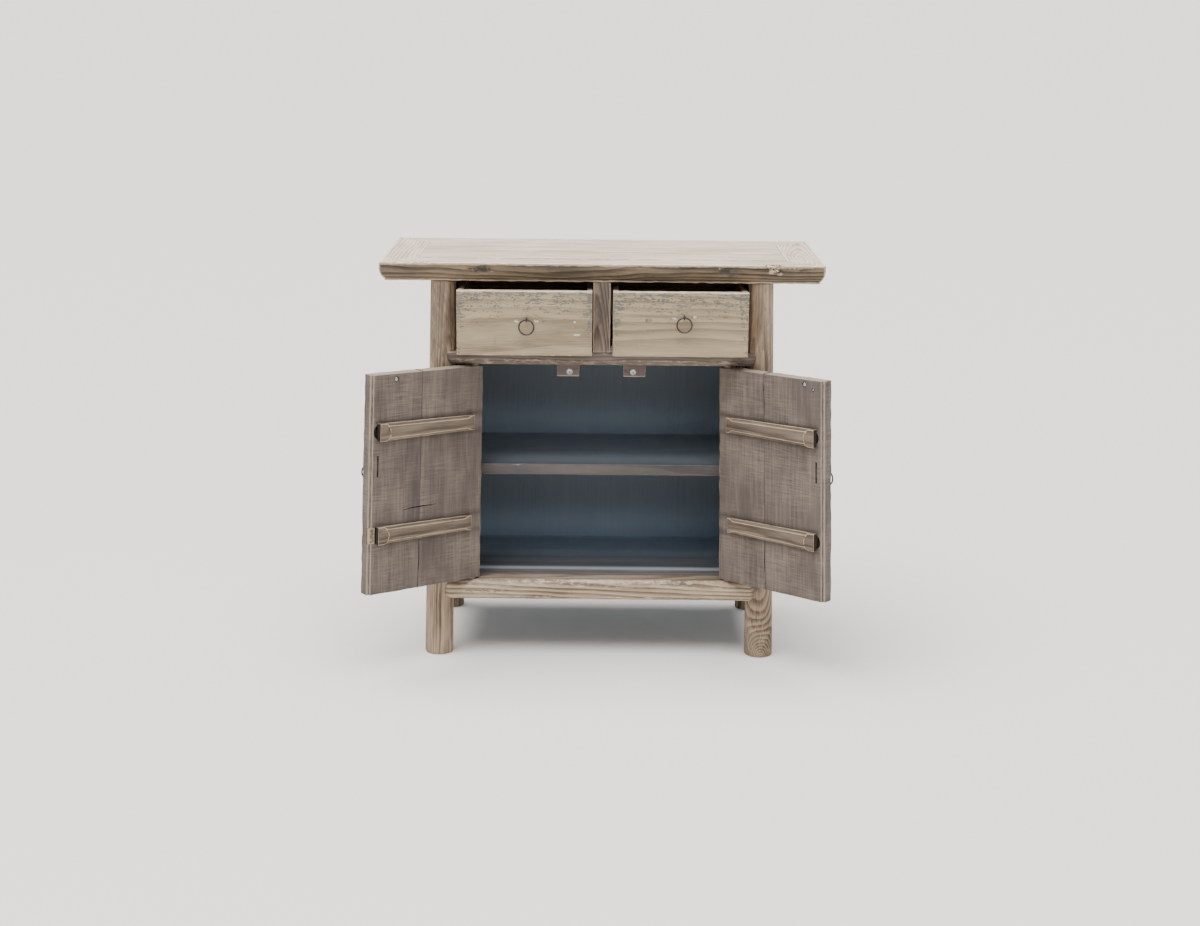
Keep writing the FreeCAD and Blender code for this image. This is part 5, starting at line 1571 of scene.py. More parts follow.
@dataclass
class PullHardware:
    """A ring hung in a split pin; drawn round the pin with the board's face at y = 0."""

    ring_radius: float = 0.0158
    wire_radius: float = 0.0018
    eye_bore: float = 0.003
    eye_wire: float = 0.0015
    standoff: float = 0.008
    drop: float = 0.001
    shank_radius: float = 0.0021
    prong_length: float = 0.0128
    prong_width: float = 0.0029
    prong_thickness: float = 0.0017

    def ring(self, forms: Forms, material: bpy.types.Material) -> Blank:
        """The ring, hanging straight down from the eye."""
        blank = forms.ring.grow({"Material": material, "Radius": self.ring_radius,
                                 "Wire Radius": self.wire_radius, "Dents": 0.0002, "Dent Size": 150.0})
        blank.points = blank.points[:, [0, 2, 1]] + np.array([0, -self.standoff, -self.drop - self.ring_radius])
        return blank

    def pin(self, forms: Forms, material: bpy.types.Material, through: float) -> Blank:
        """The eye, its shank and the two prongs bent flat behind the board.

        Args:
            forms: the Geometry Nodes trees.
            material: the iron finish.
            through: distance from the board's face to where the prongs lie.

        Returns:
            The pin's blank.
        """
        eye = forms.ring.grow({"Material": material, "Radius": self.eye_bore + self.eye_wire,
                               "Wire Radius": self.eye_wire, "Turns": 40, "Wire Sides": 12, "Dents": 0.0002,
                               "Dent Size": 300.0})
        eye.points = eye.points[:, [2, 0, 1]] + np.array([0, -self.standoff, 0])
        shank_start = self.standoff - self.eye_bore - self.eye_wire
        shank = Blank.board(through + shank_start, circle_outline(self.shank_radius, 14), 0.004, 0.0003)
        shank.points = shank.points[:, [2, 0, 1]] + np.array([0, -shank_start, 0])
        parts = [eye, shank]
        for sign in (-1, 1):
            outline = box_outline(self.prong_width, self.prong_thickness, 0.0006, 0.002)
            prong = Blank.board(self.prong_length, outline, 0.003, 0.0006)
            rise = np.abs(prong.points[:, 0]) / self.prong_length
            prong.points[:, 2] *= 1 - 0.55 * rise
            prong.points = np.column_stack([prong.points[:, 1] - self.prong_width / 2,
                                            through + prong.points[:, 2], sign * prong.points[:, 0]])
            parts.append(prong)
        return Blank.joined(parts)


@dataclass
class Drawer:
    """One drawer: a worn front with specks of old paint, its box and its pull."""

    side: Side
    inner_x: float
    pull_across: float
    pull_up: float
    marks: tuple[Mark, ...]
    width: float = 0.288
    height: float = 0.1385
    thickness: float = 0.020
    bottom: float = 0.6869
    front_y: float = -0.2425
    corner: float = 0.007

    def place(self, points: Array) -> Array:
        """From the drawer's own corner to the row frame: x across, y back, z up."""
        moved = points + np.array([self.inner_x, self.front_y, self.bottom])
        return moved * np.array([self.side.value, 1, 1])

    def front(self) -> Blank:
        """The front board with its rounded lower outer corner."""
        outline = rounded_outline([(0, 0, 0.0014), (self.thickness, 0, 0.0008),
                                   (self.thickness, self.height, 0.0012), (0, self.height, 0.0014)], 0.0028, 3)
        length = self.width - 0.0006
        board = Blank.board(length, outline, spacing=0.0028, end_round=0.0009, band=0.003)
        x, y, z = board.points[:, 0], board.points[:, 1], board.points[:, 2]
        board.figured((16.0 + 5 * self.side.value, 0.07, 0.03 - 0.02 * self.side.value), (0.015, 0.03))
        face = np.clip(1 - y / 0.004, 0, 1)
        upper = np.clip((z / self.height - 0.28) / 0.6, 0, 1)
        ends = np.clip(1 - np.minimum(x, length - x) / 0.028, 0, 1)
        board.stain = face * np.clip(0.16 + 0.72 * upper + 0.55 * ends, 0, 1)
        board.soil = np.clip(board.soil + 0.35 * np.clip(1 - z / 0.006, 0, 1), 0, 1)
        crest = np.clip(1 - (self.height - z) / 0.003, 0, 1)
        board.wear = np.clip(board.wear * 0.3 + 0.34 * crest, 0, 1.3)
        board.marked(self.marks)
        board.weathered(Weathering(0.0003, 0.09, 0.02, 0.0012, 0.016, 101.0 + self.side.value))
        over = np.clip(board.points[:, 0] - (length - self.corner), 0, self.corner)
        lift = self.corner - np.sqrt(self.corner ** 2 - over ** 2)
        board.points[:, 2] += lift * np.clip(1 - board.points[:, 2] / 0.03, 0, 1)
        board.points[:, 0] += 0.0003
        return board.placed(self.place)

    def build(self, finishes: Finishes, forms: Forms) -> None:
        """Make the drawer's pieces and dress them."""
        word = f"{self.side.word}_drawer"
        front = self.front().piece(word + "_face", finishes.drawer_front)
        stand_for(front, word + "_front", word)
        hardware = PullHardware()
        centre = np.array([self.pull_across, 0, self.pull_up])
        ring = hardware.ring(forms, finishes.iron)
        ring.points = self.place(ring.points + centre)
        pin = hardware.pin(forms, finishes.iron, self.thickness)
        pin.points = self.place(pin.points + centre)
        for blank, name, node, body in ((ring, "_ring_pull", "_ring", word + "_pull"),
                                        (pin, "_split_pin", "_pull_pin", word)):
            stand_for(blank.piece(word + name, finishes.iron), word + node, body)
        for index, part in enumerate(("left_side", "right_side")):
            self.side_board(finishes, word, f"{word}_{part}", 131.0 + index)
        for part in ("back", "bottom"):
            dress(f"{word}_{part}", finishes.drawer_cross)

    def side_board(self, finishes: Finishes, body: str, node: str, seed: float) -> None:
        """A side of the drawer's box, its upper arris made pale: partly wear, partly a painted highlight."""
        low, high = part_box(node)
        length, width, depth = high[1] - low[1], high[2] - low[2], high[0] - low[0]
        board = Blank.board(length, box_outline(width, depth, 0.001, 0.008), 0.010, 0.0006, 0.003)
        # The upper arris is paler: wear, and a painted highlight where light catches the top edge.
        crest = np.clip(1 - (width - board.points[:, 1]) / 0.003, 0, 1)
        board.wear = np.clip(board.wear * 0.4 + 1.1 * crest, 0, 1.3)
        board.figured((seed, 0.02, 0.04), (0.01, 0.02))
        board.weathered(Weathering(0.0003, 0.1, 0.02, 0.0008, 0.02, seed))
        board.placed(along_y(low[0], low[1], low[2]))
        stand_for(board.piece(node + "_board", finishes.drawer_box), node, body)


@dataclass
class Door:
    """One door of two boards with tapered battens, drawn closed on the right and swung open."""

    side: Side
    angle: float
    meeting_width: float
    pocket_reaches: tuple[float | None, float | None]
    screws: tuple[tuple[float, float, float], ...]
    seed: float
    upper_marks: tuple[Mark, ...] = ()
    lower_marks: tuple[Mark, ...] = ()
    edge_x: float = 0.0015
    bottom: float = 0.177
    top: float = 0.654
    thickness: float = 0.028
    pivot_edge: float = 0.013
    gap: float = 0.0004
    rebate_width: float = 0.006
    rebate_depth: float = 0.0045
    batten_heights: tuple[float, float] = (0.355, 0.131)
    batten_wide: float = 0.039
    batten_narrow: float = 0.033
    batten_rise: float = 0.011
    batten_key: float = 0.0065
    batten_start: float = 0.0195
    batten_end_inset: float = 0.023
    bevel: float = 0.006
    block_end: tuple[float, float, float, float] = (0.024, 0.028, 0.025, 0.016)
    pocket_radius: float = 0.017
    pull_x: float = 0.021
    pull_height: float = 0.281
    slot_length: float = 0.045
    slot_width: float = 0.0036
    slot_depth: float = 0.0026

    def place(self, points: Array) -> Array:
        """Swing closed-door points open about the leaning pivot, on the door's own side."""
        base = np.array([BODY.pivot_floor_x, BODY.pivot_y, 0.0])
        axis = Vector((-BODY.slope, 0, 1)).normalized()
        turn = np.array(Matrix.Rotation(math.radians(self.angle), 3, axis))
        return ((points - base) @ turn.T + base) * np.array([self.side.value, 1, 1])

    @property
    def inner_y(self) -> float:
        """Level of the door's inner face when closed."""
        return BODY.pivot_y + self.thickness / 2

    @property
    def outer_y(self) -> float:
        """Level of the door's outer face when closed."""
        return BODY.pivot_y - self.thickness / 2

    @property
    def height(self) -> float:
        """The door's height."""
        return self.top - self.bottom

    @property
    def seam_x(self) -> float:
        """Where the two boards meet."""
        return self.edge_x + self.meeting_width

    def hinge_x(self, z: Array | float) -> Array | float:
        """The hinge board's outer edge at a height."""
        return BODY.pivot_x(z) + self.pivot_edge

    def closed(self, points: Array) -> Array:
        """From a door board's axes (z up the door, x across, y through) to the closed door."""
        return np.column_stack([points[:, 1], points[:, 2], self.bottom + points[:, 0]])

    def pocket(self, height: float, reach: float) -> Blank:
        """Cutter for a round pocket at a batten's free end, in board axes."""
        centre_x = self.batten_start - reach + self.pocket_radius
        drum = Blank.board(0.05, circle_outline(self.pocket_radius, 48), 0.05, 0.0001)
        drum.points = np.column_stack([height + drum.points[:, 1], centre_x - drum.points[:, 2],
                                       self.inner_y - self.batten_key - 0.0006 + drum.points[:, 0]])
        return drum

    def block(self, x: tuple[float, float], y: tuple[float, float], z: tuple[float, float]) -> Blank:
        """A square cutter in board axes, given by its spans on the closed door."""
        outline = rounded_outline([(x[0], y[0], 0), (x[1], y[0], 0), (x[1], y[1], 0), (x[0], y[1], 0)], 1.0)
        cutter = Blank.board(z[1] - z[0], outline, 1.0, 0.0)
        cutter.points[:, 0] += z[0]
        return cutter

    def split(self, start: tuple[float, float], end: tuple[float, float], width: float, depth: float) -> Blank:
        """Cutter for a drying crack on the inner face, between two points (x, height)."""
        first, last = np.array(start), np.array(end)
        run = last - first
        length = float(np.linalg.norm(run))
        run /= length
        across = np.array([-run[1], run[0]])

        def section(t: float) -> Array:
            """A narrow wedge that thins to both ends."""
            half = width / 2 * max(0.12, math.sin(math.pi * min(max(t / length, 0.0), 1.0)))
            return np.array([[0.0, -depth], [half, 0.002], [-half, 0.002]])

        wedge = Blank.board(length, section, length / 10, 0.0)
        along, side, through = wedge.points[:, 0], wedge.points[:, 1], wedge.points[:, 2]
        sway = side + 0.0012 * np.sin(along * 55)
        flat = first + along[:, None] * run + sway[:, None] * across
        wedge.points = np.column_stack([flat[:, 1], flat[:, 0], self.inner_y + through])
        return wedge

    def meeting_board(self, cracks: Sequence[Blank]) -> Blank:
        """The rebated board at the middle of the front, in board axes."""
        x0, x1 = self.edge_x, self.seam_x - self.gap / 2
        y0, y1 = self.outer_y, self.inner_y
        corners = [(x0, y0, 0.0014), (x1, y0, 0.0006), (x1, y1, 0.0006), (x0 + self.rebate_width, y1, 0.0012),
                   (x0 + self.rebate_width, y1 - self.rebate_depth, 0.0), (x0, y1 - self.rebate_depth, 0.0012)]
        outline = rounded_outline(corners, 0.006, 3, 0.0022)
        board = Blank.board(self.height, outline, spacing=0.006, end_round=0.0008, band=0.0022)
        board.wear[board.points[:, 1] > x1 - 0.002] = 0
        board = board.cut(list(cracks) + self.hollows())
        board.figured((self.seed, 0.03, BODY.pivot_y - 0.05), (0.01, 0.01))
        rebate = board.points[:, 1] < x0 + self.rebate_width + 0.0004
        rebate &= board.points[:, 2] > y1 - self.rebate_depth - 0.001
        board.wear = np.where(rebate, np.maximum(board.wear, 0.5), board.wear)
        foot = np.clip(1 - board.points[:, 0] / 0.02, 0, 1)
        board.soil = np.maximum(board.soil, 0.3 * foot)
        self.shade_battens(board)
        return board.weathered(Weathering(0.0005, 0.12, 0.03, 0.0014, 0.02, self.seed))

    def shade_battens(self, board: Blank) -> None:
        """Lay painted shade along the battens on the inner face, in the creases beside them."""
        inner = board.points[:, 2] > self.inner_y - 0.002
        past = board.points[:, 1] > self.batten_start - 0.004
        for height in self.batten_heights:
            away = np.abs(board.points[:, 0] - height) - self.batten_wide / 2
            shade = np.clip(1 - np.abs(away) / 0.009, 0, 1) * inner * past
            board.soil = np.maximum(board.soil, 0.75 * shade)

    def hollows(self) -> list[Blank]:
        """Pockets, the open groove and the slot round the pin."""
        cutters = []
        for height, reach in zip(self.batten_heights, self.pocket_reaches):
            if reach is None:
                half = self.batten_wide / 2 - 0.002
                cutters.append(self.block((self.edge_x - 0.01, self.batten_start + 0.02),
                                          (self.inner_y - self.batten_key - 0.0005, self.inner_y + 0.01),
                                          (height - half, height + half)))
            else:
                cutters.append(self.pocket(height, reach))
        half = self.slot_length / 2
        cutters.append(self.block((self.pull_x - self.slot_width / 2, self.pull_x + self.slot_width / 2),
                                  (self.inner_y - self.slot_depth, self.inner_y + 0.01),
                                  (self.pull_height - half, self.pull_height + half)))
        for x, z, radius in self.screws:
            seat = Blank.board(0.02, circle_outline(radius + 0.0012, 24), 0.02, 0.0)
            seat.points = np.column_stack([z - self.bottom + seat.points[:, 1], x - seat.points[:, 2],
                                           self.inner_y - 0.0007 + seat.points[:, 0]])
            cutters.append(seat)
        return cutters

    def hinge_board(self, cracks: Sequence[Blank]) -> Blank:
        """The board with the pins; its hinge edge leans with the post."""
        x0 = self.seam_x + self.gap / 2
        x1 = float(self.hinge_x(self.bottom))
        corners = [(x0, self.outer_y, 0.0006), (x1, self.outer_y, self.pivot_edge), (x1, self.inner_y, 0.003),
                   (x0, self.inner_y, 0.0006)]
        outline = rounded_outline(corners, 0.006, 5, 0.0022)
        board = Blank.board(self.height, outline, spacing=0.006, end_round=0.0008, band=0.0022)
        board.wear[board.points[:, 1] < x0 + 0.002] = 0
        share = (board.points[:, 1] - x0) / (x1 - x0)
        board.points[:, 1] -= share * BODY.slope * board.points[:, 0]
        if cracks:
            board = board.cut(cracks)
        board.figured((self.seed + 2.3, x0 + 0.10, BODY.pivot_y - 0.06), (0.012, 0.014))
        self.shade_battens(board)
        return board.weathered(Weathering(0.0005, 0.12, 0.03, 0.0014, 0.02, self.seed + 4))

    def pivots(self) -> Blank:
        """The two round wooden pins."""
        parts = []
        for z0, z1 in ((0.1623, self.bottom + 0.004), (self.top - 0.004, 0.6695)):
            pin = Blank.board(z1 - z0, circle_outline(0.008, 32), 0.006, 0.001)
            pin.figured((0.4, 0.002, 0.003))
            pin.soil = np.ones(len(pin.points))
            pin.points = np.column_stack([BODY.pivot_x(z0 + pin.points[:, 0]) + pin.points[:, 1],
                                          BODY.pivot_y + pin.points[:, 2], z0 + pin.points[:, 0]])
            parts.append(pin)
        return Blank.joined(parts)

    def bevel_at(self, x: float, length: float) -> float:
        """Size of a batten's edge bevel at a distance from its free end."""
        rise = min(max((x - 0.014) / 0.012, 0.0), 1.0)
        fall = min(max((length - 0.005 - x) / 0.013, 0.0), 1.0)
        share = min(rise, fall)
        return 0.0007 + (self.bevel - 0.0007) * share * share * (3 - 2 * share)

    def batten(self, height: float, seed: float, marks: Sequence[Mark]) -> Blank:
        """A tapered batten with stopped bevels along its face."""
        end = float(BODY.pivot_x(self.bottom)) - self.batten_end_inset
        length = end - self.batten_start
        rise, key = self.batten_rise, self.batten_key

        def section(x: float) -> Array:
            """The batten's section at a distance from its free end: u up the door, v off the face."""
            half = (self.batten_wide + (self.batten_narrow - self.batten_wide) * x / length) / 2
            neck = half - 0.0045
            bevel = self.bevel_at(x, length)
            corners = [(-neck, -key, 0), (neck, -key, 0), (half, 0.0, 0), (half, rise - bevel, 0.0004),
                       (half - bevel, rise, 0.0004), (bevel - half, rise, 0.0004), (-half, rise - bevel, 0.0004),
                       (-half, 0.0, 0)]
            return rounded_outline(corners, 0.006, 2, 0.0018, parts=(2, 1, 1, 1, 4, 1, 1, 1))

        fine = [self.block_end[1] * step / 24 for step in range(1, 36)]
        blank = Blank.board(length, section, spacing=0.004, end_round=0.0004, band=0.0022, extra=fine)
        along, up, off = blank.points[:, 0], blank.points[:, 1], blank.points[:, 2]
        line = np.interp(up, np.array([-0.5, 0.0, 0.25, 0.5]) * self.batten_wide, self.block_end)
        past = np.clip((along - line) / 0.002, 0, 1) * np.clip((off - rise + 0.005) / 0.002, 0, 1)
        arris = np.clip(1.25 - np.abs(along - line + 0.0006) / 0.0016, 0, 1) * (off > rise - 0.006)
        blank.points[:, 2] -= 0.0008 * past
        blank.wear = np.maximum(blank.wear, arris)
        blank.hollow[0] = 1.0
        blank.figured((seed, 0.01, -0.03), (0.0, 0.012))
        # Darker near the door face: painted shade in the crease where the batten meets the board.
        blank.soil = np.maximum(blank.soil, np.clip(1 - np.abs(off) / 0.0025, 0, 1) * 0.8)
        blank.marked(marks).weathered(Weathering(0.0003, 0.06, 0.012, 0.0006, 0.012, seed))
        blank.points = np.column_stack([self.batten_start + blank.points[:, 0],
                                        self.inner_y + blank.points[:, 2],
                                        self.bottom + height + blank.points[:, 1]])
        return blank

    def filler(self) -> Blank:
        """The short key in the mouth of the left door's lower groove."""
        half = self.batten_wide / 2 - 0.0021
        depth = self.batten_key
        block = Blank.board(0.0156, box_outline(2 * half, depth, 0.0006, 0.004), 0.003, 0.0006, 0.003)
        block.figured((3.2, 0.01, -0.02), (0.0, 0.1))
        mouth = np.clip(1 - block.points[:, 0] / 0.004, 0, 1)
        block.wear = np.clip(0.55 + 0.4 * block.wear + 0.8 * mouth, 0, 1.4)
        block.weathered(Weathering(0.0003, 0.02, 0.01, 0.0006, 0.01, 5.0))
        height = self.batten_heights[1]
        block.points = np.column_stack([self.edge_x + block.points[:, 0],
                                        self.inner_y - depth + block.points[:, 2],
                                        self.bottom + height - half + block.points[:, 1]])
        return block

    def finish(self, blank: Blank, name: str, node: str | None, slot: str, body: str,
               material: bpy.types.Material) -> None:
        """Swing a closed-door blank open, make its piece and let it stand for its CAD node."""
        blank.points = self.place(blank.points)
        stand_for(blank.piece(name, material), node, body)

    def build(self, finishes: Finishes, forms: Forms, cracks: Sequence[Blank]) -> None:
        """Make the door's pieces and dress them."""
        word = f"{self.side.word}_door"
        meeting = self.meeting_board(cracks)
        meeting.points = self.closed(meeting.points)
        self.finish(meeting, word + "_meeting_plank", word + "_meeting_board", "door_wood", word, finishes.door)
        hinge = self.hinge_board(cracks)
        hinge.points = self.closed(hinge.points)
        whole = Blank.joined([hinge, self.pivots()])
        self.finish(whole, word + "_hinge_plank", word + "_hinge_board", "door_wood", word, finishes.door)
        battens = [self.batten(self.batten_heights[0], self.seed + 7, self.upper_marks),
                   self.batten(self.batten_heights[1], self.seed + 9, self.lower_marks)]
        if self.pocket_reaches[1] is None:
            battens.append(self.filler())
        self.finish(Blank.joined(battens), word + "_batten_pair", word + "_battens", "batten_wood", word,
                    finishes.batten)
        self.build_iron(word, finishes, forms)

    def build_iron(self, word: str, finishes: Finishes, forms: Forms) -> None:
        """The ring, its pin and the strike screws."""
        hardware = PullHardware()
        centre = np.array([self.pull_x, self.outer_y, self.bottom + self.pull_height])
        ring = hardware.ring(forms, finishes.iron)
        ring.points = ring.points + centre
        self.finish(ring, word + "_ring_pull", word + "_ring", "iron", word + "_pull", finishes.iron)
        pin = hardware.pin(forms, finishes.iron, self.thickness - self.slot_depth)
        pin.points = pin.points + centre
        self.finish(pin, word + "_split_pin", word + "_pull_pin", "iron", word, finishes.iron)
        heads = []
        for index, (x, z, radius) in enumerate(self.screws):
            values = {"Material": finishes.steel, "Radius": radius, "Rise": 0.4, "Seed": 7 + index}
            head = forms.heads.grow(values, [(0.0, 0.0, 0.0)])
            head.points = head.points[:, [0, 2, 1]] + np.array([x, self.inner_y - 0.0004, z])
            heads.append(head)
        self.finish(Blank.joined(heads), word + "_strike_screws", None, "iron", word, finishes.steel)


@dataclass
class Catches:
    """Two blocks under the drawer rail, each with a round magnet."""

    low_x: float = 0.0475
    high_x: float = 0.0965
    front: float = -0.1617
    depth: float = 0.022
    height: float = 0.030
    magnet_x: float = 0.069
    magnet_z: float = 0.6375
    magnet_radius: float = 0.0065

    def disc(self) -> Blank:
        """A round magnet in its cup, with a small dimple, facing -Y."""
        profile = [(0.0, 0.0005), (0.0012, 0.0005), (0.0019, 0.0), (0.0047, 0.0), (0.0050, 0.0005),
                   (0.0053, 0.0005), (0.0055, 0.0), (0.0063, 0.0), (0.0065, 0.0003), (0.0065, 0.0055),
                   (0.0, 0.0055)]
        count = 40
        turns = np.linspace(0, 2 * math.pi, count, endpoint=False)
        points = [[0.0, profile[0][1], 0.0]]
        for radius, level in profile[1:-1]:
            points += [[radius * math.cos(turn), level, radius * math.sin(turn)] for turn in turns]
        points.append([0.0, profile[-1][1], 0.0])
        rings = len(profile) - 2
        faces = [[0, 1 + index, 1 + (index + 1) % count] for index in range(count)]
        for ring in range(rings - 1):
            low, high = 1 + ring * count, 1 + (ring + 1) * count
            faces += [[low + index, high + index, high + (index + 1) % count, low + (index + 1) % count]
                      for index in range(count)]
        last = 1 + (rings - 1) * count
        faces += [[last + index, len(points) - 1, last + (index + 1) % count] for index in range(count)]
        return Blank.plain(np.array(points), faces)

    def build(self, finishes: Finishes) -> None:
        """Make the blocks and magnets and dress them."""
        blocks, discs = [], []
        low = BODY.drawer_rail_bottom - self.height
        for side in Side:
            width = self.high_x - self.low_x
            outline = rounded_outline([(0, 0, 0.002), (self.depth, 0, 0.002), (self.depth, self.height, 0.0006),
                                       (0, self.height, 0.0006)], 0.004, 3)
            block = Blank.board(width, outline, 0.004, 0.0012, 0.003)
            block.figured((2.0 + side.value, 0.01, 0.03), (0.0, 0.1))
            block.weathered(Weathering(0.0003, 0.03, 0.01, 0.0008, 0.012, 6.0 + side.value))
            block.placed(mirrored(along_x(self.low_x, self.front, low), side))
            blocks.append(block)
            disc = self.disc()
            disc.placed(along_x(side.value * self.magnet_x, self.front - 0.0001, self.magnet_z))
            discs.append(disc)
        for blanks, name, node, slot, material in (
                (blocks, "catch_block_pair", "catch_blocks", "inner_wood", finishes.door),
                (discs, "catch_magnet_pair", "catch_magnets", "magnet_steel", finishes.steel)):
            stand_for(Blank.joined(blanks).piece(name, material, 40.0), node)



class LampKind(Enum):
    """Kinds of lamp, each with the property that holds its size."""

    AREA = "size"
    SUN = "angle"

@dataclass(frozen=True)
class Lamp:
    """One soft lamp and what it faces."""

    name: str
    kind: LampKind
    place: tuple[float, float, float]
    size: float
    power: float
    target: tuple[float, float, float]

    def build(self, colour: tuple[float, float, float]) -> None:
        """Hang the lamp."""
        data = bpy.data.lights.new(self.name, self.kind.name)
        setattr(data, self.kind.value, self.size)
        data.energy = self.power
        data.color = colour
        made = bpy.data.objects.new(self.name, data)
        made.location = self.place
        made.rotation_euler = (Vector(self.place) - Vector(self.target)).to_track_quat("Z", "Y").to_euler()
        bpy.context.scene.collection.objects.link(made)

@dataclass(frozen=True)
class Studio:
    """Pale floor, soft light and the camera."""

    place: tuple[float, float, float] = (0.0074, -4.3472, 1.4538)
    yaw: float = -0.002
    pitch: float = 0.239
    roll: float = 0.0094
    focal_pixels: float = 1960.45
    picture_width: float = 1200.0
    floor_side: float = 120.0
    floor_near: float = -60.0
    floor_far: float = 500.0
    sky_colour: Colour = (0.84, 0.89, 0.96, 1.0)
    sky_strengths: tuple[float, float] = (0.34, 1.05)
    lamp_colour: tuple[float, float, float] = (1.0, 0.985, 0.965)
    lamps: tuple[Lamp, ...] = (
        Lamp("key", LampKind.AREA, (-1.6, -2.6, 3.4), 2.6, 26.0, (0.0, 0.0, 0.5)),
        Lamp("fill", LampKind.AREA, (1.2, -4.2, 1.9), 2.4, 14.0, (0.0, 0.0, 0.4)),
        Lamp("sky", LampKind.SUN, (-0.5, -0.5, 4.0), 1.15, 7.2, (0.0, 0.0, 0.0)),
    )

    def camera(self) -> None:
        """The camera at the photograph's viewing angle."""
        data = bpy.data.cameras.new("camera")
        data.sensor_fit = "HORIZONTAL"
        data.sensor_width = 36.0
        data.lens = self.focal_pixels * data.sensor_width / self.picture_width
        seen = Vector((math.sin(self.yaw) * math.cos(self.pitch), math.cos(self.yaw) * math.cos(self.pitch),
                       -math.sin(self.pitch)))
        level = Vector((math.cos(self.yaw), -math.sin(self.yaw), 0.0))
        upright = level.cross(seen)
        right = level * math.cos(self.roll) + upright * math.sin(self.roll)
        up = upright * math.cos(self.roll) - level * math.sin(self.roll)
        turn = Matrix((right, up, -seen)).transposed()
        made = bpy.data.objects.new("camera", data)
        made.matrix_world = Matrix.Translation(self.place) @ turn.to_4x4()
        bpy.context.scene.collection.objects.link(made)
        bpy.context.scene.camera = made

    def floor(self) -> None:
        """A wide pale floor."""
        mesh = bpy.data.meshes.new("floor")
        side, near, far = self.floor_side, self.floor_near, self.floor_far
        mesh.from_pydata([(-side, near, 0), (side, near, 0), (side, far, 0), (-side, far, 0)], [], [(0, 1, 2, 3)])
        made = bpy.data.objects.new("floor", mesh)
        bpy.context.scene.collection.objects.link(made)
        material = bpy.data.materials.new("pale_floor")
        material.use_nodes = True
        shader = material.node_tree.nodes["Principled BSDF"]
        shader.inputs["Base Color"].default_value = tone(232, 229, 223)
        shader.inputs["Roughness"].default_value = 0.85
        mesh.materials.append(material)

    def lights(self) -> None:
        """A pale sky, paler to the camera than to the cabinet, and the lamps."""
        world = bpy.data.worlds.new("soft_sky")
        world.use_nodes = True
        background = world.node_tree.nodes["Background"]
        background.inputs[0].default_value = self.sky_colour
        path = world.node_tree.nodes.new("ShaderNodeLightPath")
        level = world.node_tree.nodes.new("ShaderNodeMapRange")
        level.inputs["To Min"].default_value, level.inputs["To Max"].default_value = self.sky_strengths
        world.node_tree.links.new(path.outputs["Is Camera Ray"], level.inputs["Value"])
        world.node_tree.links.new(level.outputs["Result"], background.inputs[1])
        bpy.context.scene.world = world
        for lamp in self.lamps:
            lamp.build(self.lamp_colour)

    def build(self) -> None:
        """Set up camera, floor and lights."""
        self.camera()
        self.floor()
        self.lights()


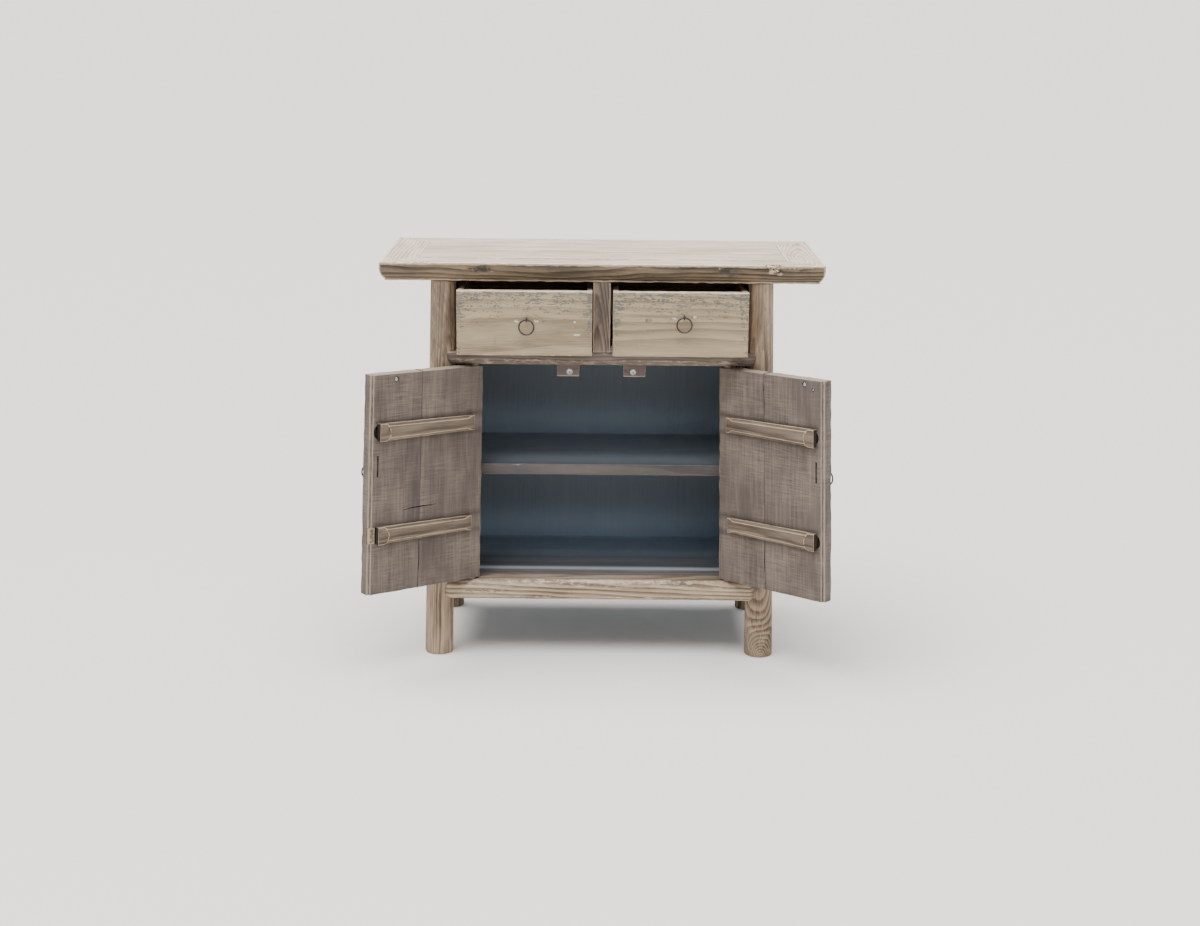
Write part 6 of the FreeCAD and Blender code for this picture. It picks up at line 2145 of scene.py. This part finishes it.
def build_drawers(finishes: Finishes, forms: Forms) -> None:
    """Both drawers with their own marks."""
    left = Drawer(Side.LEFT, 0.0203, 0.1392, 0.0789, (
        Mark((0.1180, 0.0, 0.0745), (0.009, 0.004, 0.005), 0.0009, wear=0.85),
        Mark((0.1600, 0.0, 0.0745), (0.009, 0.004, 0.005), 0.0009, wear=0.85),
        Mark((0.037, 0.0, 0.0735), (0.006, 0.004, 0.004), 0.0008, wear=0.9, stain=0.8),
        Mark((0.033, 0.0, 0.046), (0.012, 0.004, 0.004), 0.0007, wear=0.75),
        Mark((0.040, 0.0, 0.063), (0.006, 0.004, 0.003), 0.0005, wear=0.6),
        Mark((0.1415, 0.0, 0.026), (0.010, 0.004, 0.006), 0.0003, soil=0.45),
        Mark((0.205, 0.0, 0.030), (0.006, 0.004, 0.018), 0.0002, soil=0.4),
    ))
    right = Drawer(Side.RIGHT, 0.0238, 0.1513, 0.0865, (
        Mark((0.1305, 0.0, 0.083), (0.010, 0.004, 0.006), 0.0006, wear=0.8, stain=0.9),
        Mark((0.1725, 0.0, 0.085), (0.010, 0.004, 0.005), 0.0006, wear=0.7, stain=0.9),
        Mark((0.074, 0.0, 0.079), (0.010, 0.004, 0.006), 0.0005, soil=0.8, stain=0.8),
        Mark((0.146, 0.0, 0.029), (0.011, 0.004, 0.006), 0.0005, soil=0.5, wear=0.4),
        Mark((0.276, 0.0, 0.074), (0.003, 0.004, 0.003), 0.0006, soil=1.2),
        Mark((0.175, 0.0, 0.040), (0.006, 0.004, 0.0025), 0.0004, soil=0.8),
    ))
    for drawer in (left, right):
        drawer.build(finishes, forms)
        LOG.info("drawer built: %s", drawer.side.word)


def build_doors(finishes: Finishes, forms: Forms) -> None:
    """Both doors with their own cracks, pockets and screws."""
    left = Door(Side.LEFT, 141.0, 0.128, (0.0098, None), ((0.064, 0.642, 0.0042),), 111.0,
                upper_marks=(Mark((0.022, 0.004, 0.011), (0.008, 0.008, 0.004), 0.0015, soil=0.8),))
    left_cracks = [left.split((0.083, 0.355 - left.bottom), (0.171, 0.361 - left.bottom), 0.0028, 0.006),
                   left.split((0.131, -0.004), (0.129, 0.108), 0.0014, 0.004)]
    right = Door(Side.RIGHT, 136.0, 0.160, (0.0046, 0.0086),
                 ((0.052, 0.643, 0.0042), (0.029, 0.634, 0.0024)), 121.0,
                 lower_marks=(Mark((0.013, 0.004, 0.011), (0.005, 0.004, 0.004), 0.001, soil=1.2),))
    right_cracks = [right.split((0.163, -0.004), (0.1615, 0.108), 0.0014, 0.004),
                    right.split((0.160, 0.385), (0.163, 0.462), 0.0016, 0.004)]
    for door, cracks in ((left, left_cracks), (right, right_cracks)):
        door.build(finishes, forms, cracks)
        LOG.info("door built: %s", door.side.word)


def dress_kept_nodes(finishes: Finishes) -> None:
    """Finishes for the CAD nodes that are kept as they are."""
    for node in ("left_runner", "right_runner", "centre_runner", "shelf_bearers", "top_battens"):
        dress(node, finishes.runner)


def main() -> None:
    """Build every sub-assembly in order."""
    logging.basicConfig(level=logging.INFO, format="%(name)s: %(message)s")
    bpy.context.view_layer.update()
    Studio().build()
    finishes = Finishes()
    forms = Forms()
    for part in (TopSlab(), Posts(), Rails(), CaseBoards(), Catches()):
        part.build(finishes)
        LOG.info("sub-assembly built: %s", type(part).__name__)
    build_drawers(finishes, forms)
    build_doors(finishes, forms)
    dress_kept_nodes(finishes)


if __name__ == "__main__":
    main()
